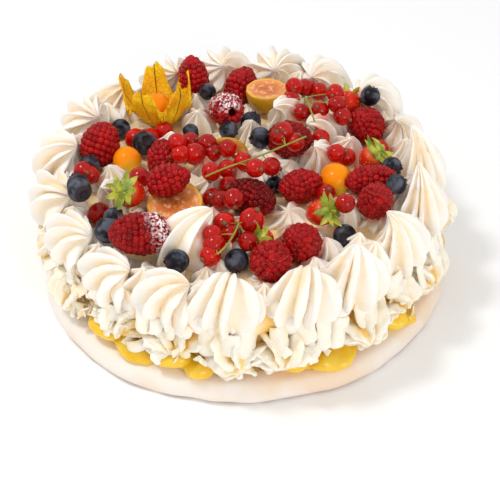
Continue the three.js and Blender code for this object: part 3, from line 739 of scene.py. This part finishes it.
def aimed(name, heading, tilt):
    """The place of a CAD node, with a form's own upward end turned to a heading and tilted down."""
    turn = turned(math.radians(heading)) @ turned(math.radians(tilt), "Y")
    return Matrix.Translation(middle_of(name)) @ turn


def numbered(name, count):
    return [f"{name}_{number}" for number in range(1, count + 1)]


def another(obj, matrix):
    """A copy with its own mesh, put in its place."""
    copy = obj.copy()
    copy.data = obj.data.copy()
    copy.data.transform(matrix)
    bpy.context.scene.collection.objects.link(copy)
    return copy


raspberry_finish, shader, where = finish_of(
    "raspberry", soft=(0.2, 0.002, (1.0, 0.15, 0.1)), coat=(0.04, 0.1), Specular_IOR_Level=0.14
)
flesh = blended(mark_of(where, "shade"), RASPBERRY_DARK, RASPBERRY_RED)
powder = product(patches_in(where, 600, 0.45, 0.58), mark_of(where, "sugar"))
coloured(shader, blended(powder, flesh, SUGAR))
fed(shader, "Roughness", between(powder, -0.55, 1.2))
raised_by(shader, lumps_in(where, 700), 0.0003, 0.4)
hair_finish, shader, where = finish_of("dried_hair", Roughness=0.6)
coloured(shader, blended(lumps_in(where, 200), HAIR_DARK, HAIR_PALE))

drupelet = added(bpy.ops.mesh.primitive_ico_sphere_add, subdivisions=2, radius=1)
plain_drupelet = marked(marked(drupelet, "shade", 0), "sugar", 0)
plain_hair = added(bpy.ops.mesh.primitive_cone_add, vertices=3, radius1=0.1, radius2=0.03, depth=2.2)
berries, hairs = [], []
for number, (heading, tilt, width, length) in enumerate(RASPBERRIES, 1):
    lie = aimed(f"raspberry_{number}", heading, tilt)
    chance = random.Random(number)
    shade = OWN_SHADES.get(number, USUAL_SHADE)
    outline = scaled(RASPBERRY_OUTLINE, width / 2, length)
    hollow = [(0.2 * width, -0.1 * length), (0.26 * width, -0.49 * length), (0.3 * width, -0.52 * length)]
    core = drawn_up(flat_ring(16), hollow + [(r - 1.5, z) for r, z in outline] + [(0, 0.49 * length)])
    core.data.transform(lie)
    # The core shows in the gaps between the drupelets, and is coloured dark red there as painted shade.
    parts = [marked(marked(core, "shade", 0.15), "sugar", 0)]
    rows = round(1.25 * length / DRUPELET)
    for row in range(rows + 1):
        along = (len(outline) - 1) * row / rows
        low_end, high_end = outline[int(along)], outline[min(int(along) + 1, len(outline) - 1)]
        radius, height = (a + (b - a) * (along % 1) for a, b in zip(low_end, high_end))
        count = max(1, round(math.tau * (radius - 1) / DRUPELET)) if row < rows else 4
        for step in range(count):
            turn = math.tau * (step + 0.5 * (row % 2) + 0.16 * chance.uniform(-1, 1)) / count
            out = Vector((math.cos(turn), math.sin(turn), 0))
            inward = 1.6 + chance.uniform(-0.25, 0.25)
            place = out * max(radius - inward, 0.5) + Vector((0, 0, height + chance.uniform(-0.3, 0.3)))
            size = 0.68 * DRUPELET * chance.uniform(0.92, 1.1)
            drupelet = another(plain_drupelet, lie @ Matrix.Translation(place) @ Matrix.Scale(size, 4))
            marked(drupelet, "shade", min(max(shade + chance.uniform(-0.3, 0.3), 0), 1))
            if number in SUGARED:
                up = (lie.to_3x3() @ out).z
                if SUGARED[number] == "above":
                    dusted = up + 0.4 * chance.uniform(-1, 1)
                else:
                    dusted = 0.6 * up - 0.12 * (height + 5)
                marked(drupelet, "sugar", min(max(dusted, 0), 1))
            parts.append(drupelet)
            if chance.random() < HAIR_SHARE:
                away = (out + Vector((0, 0, height / length + 0.25))).normalized()
                leaning = away + 0.5 * Vector([chance.uniform(-1, 1) for _ in range(3)])
                start = Matrix.Translation(place + away * (size + 0.7))
                start = start @ leaning.to_track_quat("Z", "Y").to_matrix().to_4x4()
                hairs.append(another(plain_hair, lie @ start))
    berries += parts
bpy.data.objects.remove(plain_drupelet)
bpy.data.objects.remove(plain_hair)
berries, hairs = as_one(berries, "raspberries"), as_one(hairs, "raspberry_hairs")
of_the_cake(berries, raspberry_finish, "raspberry", *numbered("raspberry", len(RASPBERRIES)))
of_the_cake(hairs, hair_finish, "raspberry")

# Blueberries, with a waxy pale bloom on a dark skin and the five flaps of the dried flower round a
# dimple. The bloom is rubbed off in places.
# For each, the heading and tilt of its flower, and its radius.
BLUEBERRIES = [
    (-120, 70, 5.4), (60, 30, 6.2), (30, 40, 6.4), (-90, 60, 6.2), (-40, 100, 5), (0, 90, 5.8),
    (-60, 40, 7.4), (-150, 80, 6.6), (20, 30, 6.4), (-30, 90, 6), (120, 50, 6.6), (30, 90, 6),
    (90, 60, 5.4), (-60, 80, 7), (40, 40, 6), (150, 60, 7.2), (-90, 60, 6.6), (-100, 110, 6.8),
    (-160, 90, 6.8),
]
BLUEBERRY_OUTLINE = [
    (0.2, -0.95), (0.55, -0.83), (0.84, -0.5), (1.0, -0.12), (1.0, 0.2), (0.86, 0.56), (0.62, 0.79),
    (0.46, 0.86), (0.46, 0.97), (0.4, 0.97), (0.33, 0.78), (0.15, 0.7), (0, 0.69),
]
BLUE_BLACK, BLOOM, FLOWER = (0.003, 0.0035, 0.007), (0.10, 0.11, 0.14), (0.035, 0.025, 0.03)
blueberry_finish, shader, where = finish_of("blueberry_skin", Specular_IOR_Level=0.22)
bloom = patches_in(where, 150, 0.42, 0.64, 5)
skin = blended(bloom, BLUE_BLACK, BLOOM)
coloured(shader, blended(mark_of(where, "flower"), skin, FLOWER))
fed(shader, "Roughness", between(bloom, -1.1, 1.6))
raised_by(shader, lumps_in(where, 400, 4), 0.0003, 0.4)
berries = []
for number, (heading, tilt, radius) in enumerate(BLUEBERRIES, 1):
    berry = drawn_up(flat_ring(20), scaled(BLUEBERRY_OUTLINE, radius, radius))
    for corner in berry.data.vertices:
        if corner.co.z > 0.92 * radius:
            flap = math.cos(5 * math.atan2(corner.co.y, corner.co.x))
            corner.co.z += 0.1 * radius * flap
            corner.co.xy *= 1 + 0.18 * flap
    marked(berry, "flower", lambda at: float(at.z > 0.66 * radius and at.xy.length < 0.62 * radius))
    berry.data.transform(aimed(f"blueberry_{number}", heading, tilt))
    berries.append(smoothed(berry))
berries = as_one(berries, "blueberries")
of_the_cake(berries, blueberry_finish, "blueberry", *numbered("blueberry", len(BLUEBERRIES)))

# Red currants, some loose and some still on their sprigs. The skin is thin, clear and shiny, and each
# berry ends in the brown tuft of its dried flower. The long sprigs lie with their green stem on top.
SPRIG_COUNT = 7
LOOSE_CURRANTS = 3
CURRANT_VEINS = 11
BALL_RADII = (4.9, 6.8)
STALK_REACH = 14
STALK_RADIUS = 0.32
STEM_RADIUS = 0.55
CURRANT_DARK, CURRANT_RED, CURRANT_VEIN = (0.42, 0.0005, 0.0004), (0.84, 0.006, 0.001), (0.95, 0.22, 0.10)
TUFT_DARK, TUFT_BROWN = (0.05, 0.02, 0.012), (0.30, 0.15, 0.05)
STEM_GREEN, STEM_YELLOW = (0.17, 0.18, 0.012), (0.42, 0.38, 0.04)
# The part of each long stem that shows, as points in millimetres.
SPRIG_STEMS = {
    "currant_sprig_5": [(36, 46, 88), (37, 38, 91), (39, 30, 90), (41, 24, 86)],
    "currant_sprig_6": [
        (-22, -23, 82), (-12, -22, 87), (-3, -20, 89), (10, -13.5, 90), (23, -7, 92), (35, 0, 93),
    ],
    "currant_sprig_7": [(-14, -86, 80), (-9, -84, 83), (-5, -76, 85), (-3, -66, 84)],
}


def berries_of(name):
    """Middles and radii of the balls in a CAD sprig. A ball has level edges above and below, as long
    as its radius."""
    form = bmesh.new()
    form.from_mesh(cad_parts[name].data)
    bmesh.ops.remove_doubles(form, verts=form.verts, dist=1e-6)
    found = []
    for side in (1, -1):
        for edge in form.edges:
            start, end = (corner.co / MM for corner in edge.verts)
            run = end - start
            level = abs(run.y) < 0.02 and abs(run.z) < 0.02 and BALL_RADII[0] < abs(run.x) < BALL_RADII[1]
            if level and all(side * face.normal.z > 0.3 for face in edge.link_faces):
                radius = abs(run.x)
                rise = side * math.sin(math.pi / 3) * radius
                middle = (start + end) / 2 - Vector((0, 0, rise)) - CAKE_SHIFT
                if all((middle - other).length > 2 for other, _ in found):
                    found.append((middle, radius))
    form.free()
    return found


def stem(points, radius):
    """A thin stem through points in millimetres."""
    path = added(bpy.ops.curve.primitive_nurbs_path_add, radius=1)
    path.data.splines.clear()
    line = path.data.splines.new("NURBS")
    line.points.add(len(points) - 1)
    for point, at in zip(line.points, points):
        point.co = (*at, 1)
    line.use_endpoint_u, line.order_u = True, min(4, len(points))
    path.data.resolution_u, path.data.bevel_depth, path.data.bevel_resolution = 3, radius, 1
    path.data.use_fill_caps = True
    bpy.ops.object.convert(target="MESH")
    made = bpy.context.object
    made.data.transform(made.matrix_world)
    made.matrix_world = Matrix()
    return made


currant_finish, shader, where = finish_of(
    "red_currant", soft=(0.45, 0.003, (1.0, 0.1, 0.03)), coat=(0.04, 0.03), Specular_IOR_Level=0.14,
    Transmission_Weight=0.4,
)
round_berry = node("SeparateXYZ", {0: where.node.outputs["UV"]}).outputs[0]
veins = reckoned("SINE", product(round_berry, math.tau * CURRANT_VEINS))
veins = product(between(veins, 0.7, 1.0), 0.12)
ripe = blended(patches_in(where, 45, 0.3, 0.7), CURRANT_DARK, CURRANT_RED)
coloured(shader, blended(veins, ripe, CURRANT_VEIN))
fed(shader, "Roughness", patches_in(where, 300, -2.4, 10.0))
tuft_finish, shader, where = finish_of("dried_tuft", Roughness=0.7)
coloured(shader, blended(lumps_in(where, 400), TUFT_DARK, TUFT_BROWN))
stem_finish, shader, where = finish_of("green_stem", Roughness=0.45)
coloured(shader, blended(lumps_in(where, 120), STEM_GREEN, STEM_YELLOW))

sprigs = {name: berries_of(name) for name in numbered("currant_sprig", SPRIG_COUNT)}
for name in numbered("currant", LOOSE_CURRANTS):
    lowest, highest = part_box(name)
    sprigs[name] = [(middle_of(name), (highest - lowest).y / 2 / MM)]
plain_berry = added(bpy.ops.mesh.primitive_uv_sphere_add, segments=18, ring_count=12, radius=1)
plain_tuft = drawn_up(flat_ring(10), [(0.13, 0.9), (0.16, 0.98), (0.24, 1.08), (0.16, 1.22), (0.08, 1.26)])
for corner in plain_tuft.data.vertices:
    corner.co.xy *= 1 + 0.3 * math.cos(5 * math.atan2(corner.co.y, corner.co.x))
balls, tufts, stems = [], [], []
for name, found in sprigs.items():
    chance = random.Random(len(balls))
    line = SPRIG_STEMS.get(name, [])
    for number, (middle, radius) in enumerate(found):
        lie = turned(chance.gauss(-1.6, 1.2)) @ turned(chance.uniform(0.3, 2.2), "Y")
        place = Matrix.Translation(middle) @ lie @ Matrix.Scale(1.06 * radius, 4)
        balls.append(another(plain_berry, place))
        tufts.append(another(plain_tuft, place))
        near = [Vector(at) for at in line] or [at for at, _ in found[:number]]
        if near:
            end = min(near, key=lambda at: (at - middle).length)
            start = middle + (end - middle).normalized() * radius
            if (end - start).length < STALK_REACH:
                stems.append(stem([start, (start + end) / 2 + Vector((0, 0, 0.6)), end], STALK_RADIUS))
    if line:
        stems.append(stem(line, STEM_RADIUS))
bpy.data.objects.remove(plain_berry)
bpy.data.objects.remove(plain_tuft)
of_the_cake(as_one(balls, "red_currants"), currant_finish, "red_currant", *sprigs)
of_the_cake(as_one(tufts, "currant_tufts"), tuft_finish, "red_currant")
of_the_cake(as_one(stems, "currant_stems"), stem_finish, "red_currant")

# Physalis berries, round and glossy. One still sits in its husk, a papery lantern that was torn open
# and folded back in five petals with branching veins.
HUSK_RADIUS = 18.5
HUSK_LENGTH = 37
HUSK_HEADING = 100
HUSK_TILT = 28
HUSK_PETALS = 5
PHYSALIS_ORANGE, PHYSALIS_LIGHT = (0.93, 0.21, 0.0004), (0.97, 0.33, 0.0006)
PHYSALIS_PALE = (0.95, 0.66, 0.05)
HUSK_BROWN, HUSK_YELLOW, HUSK_VEIN = (0.82, 0.36, 0.001), (0.98, 0.56, 0.01), (0.20, 0.06, 0.003)
# Which way each berry's tip points, as heading and tilt in degrees, and its radius.
PHYSALIS = {
    "physalis_1": (HUSK_HEADING, HUSK_TILT + 180, 9.3),
    "physalis_2": (-70, 120, 8.6),
    "physalis_3": (-60, 130, 9.6),
}
PHYSALIS_OUTLINE = [
    (0.25, -0.97), (0.55, -0.84), (0.84, -0.54), (1.0, -0.15), (1.0, 0.2), (0.86, 0.55), (0.6, 0.82),
    (0.3, 0.98), (0.12, 1.06), (0, 1.02),
]
HUSK_OUTLINE = [
    (0.04, 0), (0.2, 0.012), (0.34, 0.03), (0.56, 0.11), (0.74, 0.24), (0.9, 0.42), (1, 0.6), (1.01, 0.8),
    (0.98, 1),
]
physalis_finish, shader, where = finish_of(
    "physalis_skin", soft=(0.3, 0.003, (1.0, 0.4, 0.08)), coat=(0.04, 0.08), Roughness=0.2,
    Specular_IOR_Level=0.15,
)
skin = blended(lumps_in(where, 90), PHYSALIS_ORANGE, PHYSALIS_LIGHT)
coloured(shader, blended(mark_of(where, "pale"), skin, PHYSALIS_PALE))
raised_by(shader, lumps_in(where, 260), 0.0002, 0.3)
berries = []
for name, (heading, tilt, radius) in PHYSALIS.items():
    berry = drawn_up(flat_ring(24), scaled(PHYSALIS_OUTLINE, radius, radius))
    marked(berry, "pale", lambda at: min(1.0, max(0.0, at.z / radius - 0.35) * 1.6))
    berry.data.transform(aimed(name, heading, tilt))
    berries.append(smoothed(berry))
of_the_cake(as_one(berries, "physalis_berries"), physalis_finish, "physalis", *PHYSALIS)


def moved_to(obj, name):
    """Moves a turned form so that its box has the same middle as its CAD node."""
    corners = [corner.co for corner in obj.data.vertices]
    own = Vector([(min(at[k] for at in corners) + max(at[k] for at in corners)) / 2 for k in range(3)])
    obj.data.transform(Matrix.Translation(middle_of(name) - own))
    return obj


husk_finish, shader, where = finish_of(
    "papery_husk", soft=(0.3, 0.002, (1.0, 0.6, 0.2)), Roughness=0.45, Specular_IOR_Level=0.15
)
ribs = reckoned("SINE", product(mark_of(where, "turn"), HUSK_PETALS))
wander = product(lumps_in(where, 150), 0.12)
rib = between(reckoned("SUBTRACT", reckoned("ABSOLUTE", ribs), wander), 0.06, -0.02)
net = node("TexVoronoi", {"Vector": where, "Scale": 300.0}, feature="DISTANCE_TO_EDGE").outputs["Distance"]
vein = reckoned("MAXIMUM", rib, product(between(net, 0.06, 0.01), 0.4))
paper = blended(patches_in(where, 80, 0.3, 0.7), HUSK_BROWN, HUSK_YELLOW)
coloured(shader, blended(vein, paper, HUSK_VEIN))
raised_by(shader, reckoned("ADD", vein, lumps_in(where, 170)), 0.0006, 0.6)

husk = drawn_up(flat_ring(60), scaled(HUSK_OUTLINE, HUSK_RADIUS, HUSK_LENGTH))
without_ends(husk)
bpy.ops.mesh.select_all(action="SELECT")
bpy.ops.mesh.subdivide(number_cuts=1)
marked(closed(husk), "turn", lambda at: math.atan2(at.y, at.x))
for corner in husk.data.vertices:
    angle, radius = math.atan2(corner.co.y, corner.co.x), corner.co.xy.length
    rise = corner.co.z / HUSK_LENGTH
    notch = (0.5 - 0.5 * math.cos(HUSK_PETALS * angle)) ** 2.3
    short = 0.5 * (1 - math.cos(angle))
    torn = 0.14 * noise.noise(Vector((5 * math.cos(angle), 5 * math.sin(angle), 7)))
    flare = 0.22 * rise**2 * max(0, math.cos(angle - 1.26)) ** 2
    folded = 0.08 * rise * abs(math.sin(angle)) + flare + 0.03 * rise * math.cos(2 * HUSK_PETALS * angle)
    radius *= 1 - 0.08 * rise * notch + folded
    corner.co.x, corner.co.y = radius * math.cos(angle), radius * math.sin(angle)
    corner.co.z *= 1 - rise * (0.5 * notch + 0.38 * short - torn * rise)
finished(husk, "SOLIDIFY", thickness=0.5, offset=0)
roughened(husk, 2.4, 8)
husk.data.transform(turned(math.radians(HUSK_HEADING)) @ turned(math.radians(HUSK_TILT), "Y"))
husk = as_one([moved_to(husk, "physalis_husk")], "physalis_paper")
of_the_cake(husk, husk_finish, "physalis_husk", "physalis_husk")

# Ripe figs, two halved across and one cut in a wedge. The thin skin is yellow green, and the moist
# flesh is peach with pale threads and small seeds round the middle.
FIG_FLESH, FIG_PEACH, FIG_THREAD = (0.60, 0.13, 0.03), (0.84, 0.33, 0.09), (0.95, 0.52, 0.26)
FIG_SEED, FIG_RIND = (0.62, 0.26, 0.05), (0.90, 0.50, 0.06)
FIG_GREEN, FIG_YELLOW = (0.42, 0.16, 0.003), (0.72, 0.40, 0.02)
# The way the cut face looks, as heading and tilt, with its radius, its depth and how far it lies down.
FIGS = {"fig_half_1": (90, 5, 13.5, 15, 4.5), "fig_half_2": (-100, 8, 16.5, 10, 0)}
FIG_OUTLINE = [
    (0.2, -0.5), (0.5, -0.43), (0.74, -0.26), (0.9, -0.05), (0.98, 0.2), (1.0, 0.38), (0.985, 0.47),
    (0.94, 0.5), (0.88, 0.49), (0.7, 0.46), (0.5, 0.45), (0.3, 0.45), (0.12, 0.44), (0, 0.44),
]
WEDGE_RADIUS = 13
WEDGE_DEPTH = 7
WEDGE_OUTLINE = [
    (0.02, 0), (0.3, 0), (0.6, 0), (0.88, 0), (1, 0.08), (0.97, 0.3), (0.9, 0.5), (0.72, 0.75), (0.5, 0.9),
    (0.25, 0.98), (0, 1),
]
fig_finish, shader, where = finish_of(
    "fig", soft=(0.25, 0.003, (1.0, 0.4, 0.2)), coat=(0.05, 0.2), Roughness=0.32, Specular_IOR_Level=0.22
)
reach = reckoned("ADD", mark_of(where, "reach"), product(lumps_in(where, 170, 5), 0.7))
seeds = node("TexVoronoi", {"Vector": where, "Scale": 460.0}).outputs["Distance"]
flesh = blended(between(reach, 0.5, 1.35), FIG_FLESH, FIG_PEACH)
threads = patches_in(where, 260, 0.52, 0.66, 6)
flesh = blended(product(threads, 0.9), flesh, FIG_THREAD)
seeded = product(between(seeds, 0.4, 0.2), between(reach, 1.15, 0.8))
flesh = blended(seeded, flesh, FIG_SEED)
flesh = blended(between(mark_of(where, "reach"), 0.84, 0.93), flesh, FIG_RIND)
peel = blended(lumps_in(where, 80), FIG_GREEN, FIG_YELLOW)
coloured(shader, blended(mark_of(where, "skin"), flesh, peel))
raised_by(shader, reckoned("ADD", seeded, lumps_in(where, 330)), 0.0006, 0.6)


def fig_marked(form, radius, face_height):
    """Marks how far each spot is from the middle of the fig, and which spots are skin."""
    marked(form, "reach", lambda at: at.xy.length / radius)
    return marked(
        form, "skin", lambda at: float(abs(at.z - face_height) >= 1.2 or at.xy.length >= 0.95 * radius)
    )


halves = []
for name, (heading, tilt, radius, depth, down) in FIGS.items():
    half = drawn_up(flat_ring(28), scaled(FIG_OUTLINE, radius, depth))
    for corner in half.data.vertices:
        corner.co.xy *= 1 + 0.04 * math.cos(2 * math.atan2(corner.co.y, corner.co.x))
    half = smoothed(fig_marked(half, radius, 0.46 * depth), 2)
    half.data.transform(shifted(0, 0, -down) @ aimed(name, heading, tilt))
    halves.append(roughened(half, 0.8, 4))
wedge = drawn_up(flat_ring(28), scaled(WEDGE_OUTLINE, WEDGE_RADIUS, WEDGE_DEPTH))
opened(smoothed(fig_marked(wedge, WEDGE_RADIUS, 0.0)))
bpy.ops.mesh.bisect(
    plane_co=(-0.2 * WEDGE_RADIUS, 0, 0), plane_no=(1, 0, 0), use_fill=True, clear_outer=True,
)
closed(wedge)
lie = turned(math.radians(12), "Y") @ turned(math.radians(90))
wedge.data.transform(lie @ turned(math.radians(78), "Y"))
moved_to(wedge, "fig_wedge_1").data.transform(shifted(-4, 1, 3.5))
figs = as_one([*halves, wedge], "figs")
of_the_cake(figs, fig_finish, "fig", *FIGS, "fig_wedge_1")

# Small strawberries with their green leaves on. The skin is glossy, with each seed in its own pit,
# and paler at the shoulder under the leaves.
# For each, the heading and tilt of its tip, its width and its length.
STRAWBERRIES = [
    (-110, 70, 17, 19), (160, 150, 16, 18), (45, 130, 17, 19), (145, 128, 15, 19), (60, 125, 14, 16),
]
STRAWBERRY_OUTLINE = [
    (0.3, -0.44), (0.6, -0.44), (0.85, -0.38), (1.0, -0.2), (1.0, -0.06), (0.88, 0.1), (0.68, 0.25),
    (0.44, 0.38), (0.2, 0.47), (0, 0.5),
]
LEAF_COUNT = 9
BERRY_DARK, BERRY_RED = (0.50, 0.005, 0.003), (0.80, 0.03, 0.004)
BERRY_SHOULDER, PIP = (0.95, 0.40, 0.10), (0.85, 0.5, 0.08)
LEAF_GREEN, LEAF_YELLOW = (0.09, 0.18, 0.004), (0.58, 0.56, 0.06)
strawberry_finish, shader, where = finish_of(
    "strawberry_skin", soft=(0.25, 0.003, (1.0, 0.2, 0.1)), coat=(0.04, 0.1), Roughness=0.22,
    Specular_IOR_Level=0.16,
)
pits = node("TexVoronoi", {"Vector": where, "Scale": 430.0}).outputs["Distance"]
skin = blended(lumps_in(where, 80), BERRY_DARK, BERRY_RED)
skin = blended(mark_of(where, "shoulder"), skin, BERRY_SHOULDER)
coloured(shader, blended(between(pits, 0.22, 0.12), skin, PIP))
raised_by(shader, between(pits, 0.1, 0.4), 0.0005, 0.6)
leaf_finish, shader, where = finish_of("strawberry_leaf", soft=(0.15, 0.002), Roughness=0.4)
coloured(shader, blended(patches_in(where, 130, 0.3, 0.7), LEAF_GREEN, LEAF_YELLOW))
raised_by(shader, lumps_in(where, 500), 0.0004, 0.5)
berries, leaves = [], []
for number, (heading, tilt, width, length) in enumerate(STRAWBERRIES, 1):
    lie = aimed(f"strawberry_{number}", heading, tilt)
    berry = drawn_up(flat_ring(24), scaled(STRAWBERRY_OUTLINE, width / 2, length))
    marked(berry, "shoulder", lambda at: min(1.0, max(0.0, -at.z / length - 0.3) * 4))
    berry.data.transform(lie)
    berries.append(smoothed(berry))
    for step in range(LEAF_COUNT):
        leaf = added(bpy.ops.mesh.primitive_grid_add, x_subdivisions=6, y_subdivisions=4, size=1)
        wave = uneven(7 * number + step)
        for corner in leaf.data.vertices:
            run = corner.co.x + 0.5
            wide = math.sin(math.pi * min(1, run * 0.92 + 0.08)) ** 0.7
            lift = 0.2 * width * math.sin(2.8 * run + 2 * wave) * run - 0.9 * abs(corner.co.y)
            corner.co = Vector((run * 0.74 * width, corner.co.y * wide * 0.3 * width, lift))
        finished(leaf, "SOLIDIFY", thickness=0.35)
        turn = turned(math.tau * (step + 0.2 * wave) / LEAF_COUNT)
        leaf.data.transform(lie @ shifted(0, 0, -0.48 * length) @ turn)
        leaves.append(smoothed(leaf))
    stalk = [(0, 0, -0.45 * length), (0.6, 0, -0.55 * length), (1.4, 0.4, -0.68 * length)]
    leaves.append(stem([lie @ Vector(at) for at in stalk], 0.6))
berries = as_one(berries, "strawberries")
of_the_cake(berries, strawberry_finish, "strawberry", *numbered("strawberry", len(STRAWBERRIES)))
of_the_cake(as_one(leaves, "strawberry_leaves"), leaf_finish, "strawberry")

# The cake stands on a plain pale floor, in soft light from above on the left and from the front, with
# an even fill.
floor = added(bpy.ops.mesh.primitive_plane_add, size=6, location=(0, 0, 0))
floor.name = "floor"
floor_finish, shader, where = finish_of("pale_floor", Roughness=0.6)
coloured(shader, blended(lumps_in(where, 3), (0.93, 0.93, 0.935), (0.95, 0.95, 0.95)))
floor.data.materials.append(floor_finish)


def panel(name, place, size, power):
    """A square soft light that faces the cake, with its size in metres and its power in watts."""
    lamp = bpy.data.lights.new(name, "AREA")
    lamp.size, lamp.energy = size, power
    holder = bpy.data.objects.new(name, lamp)
    bpy.context.scene.collection.objects.link(holder)
    holder.location = place
    holder.rotation_euler = (Vector((0, 0, 0.04)) - Vector(place)).to_track_quat("-Z", "Y").to_euler()


FILL = 0.78
panel("key", (-0.55, -0.05, 1.2), 0.2, 5.6)
panel("front", (0.6, -1.15, 0.65), 0.45, 3.8)
world = bpy.data.worlds.new("studio")
world.use_nodes = True
world.node_tree.nodes["Background"].inputs["Color"].default_value = (1, 1, 1, 1)
world.node_tree.nodes["Background"].inputs["Strength"].default_value = FILL
bpy.context.scene.world = world
bpy.context.scene.view_settings.view_transform = "Standard"

# The camera looks down on the front of the cake through a long lens, given as a share of its sensor.
VIEW_HEIGHT = math.radians(41.5)
VIEW_DISTANCE = 0.75
SENSOR = 36
LENS_SHARE = 1237 / 500
aim = Vector((0.003, -0.0082, 0.014)) + CAKE_SHIFT * MM
lens = bpy.data.cameras.new("view")
lens.sensor_width, lens.lens = SENSOR, LENS_SHARE * SENSOR
camera = bpy.data.objects.new("view", lens)
bpy.context.scene.collection.objects.link(camera)
camera.location = aim - VIEW_DISTANCE * Vector((0, math.cos(VIEW_HEIGHT), -math.sin(VIEW_HEIGHT)))
camera.rotation_euler = (math.pi / 2 - VIEW_HEIGHT, 0, 0)
bpy.context.scene.camera = camera
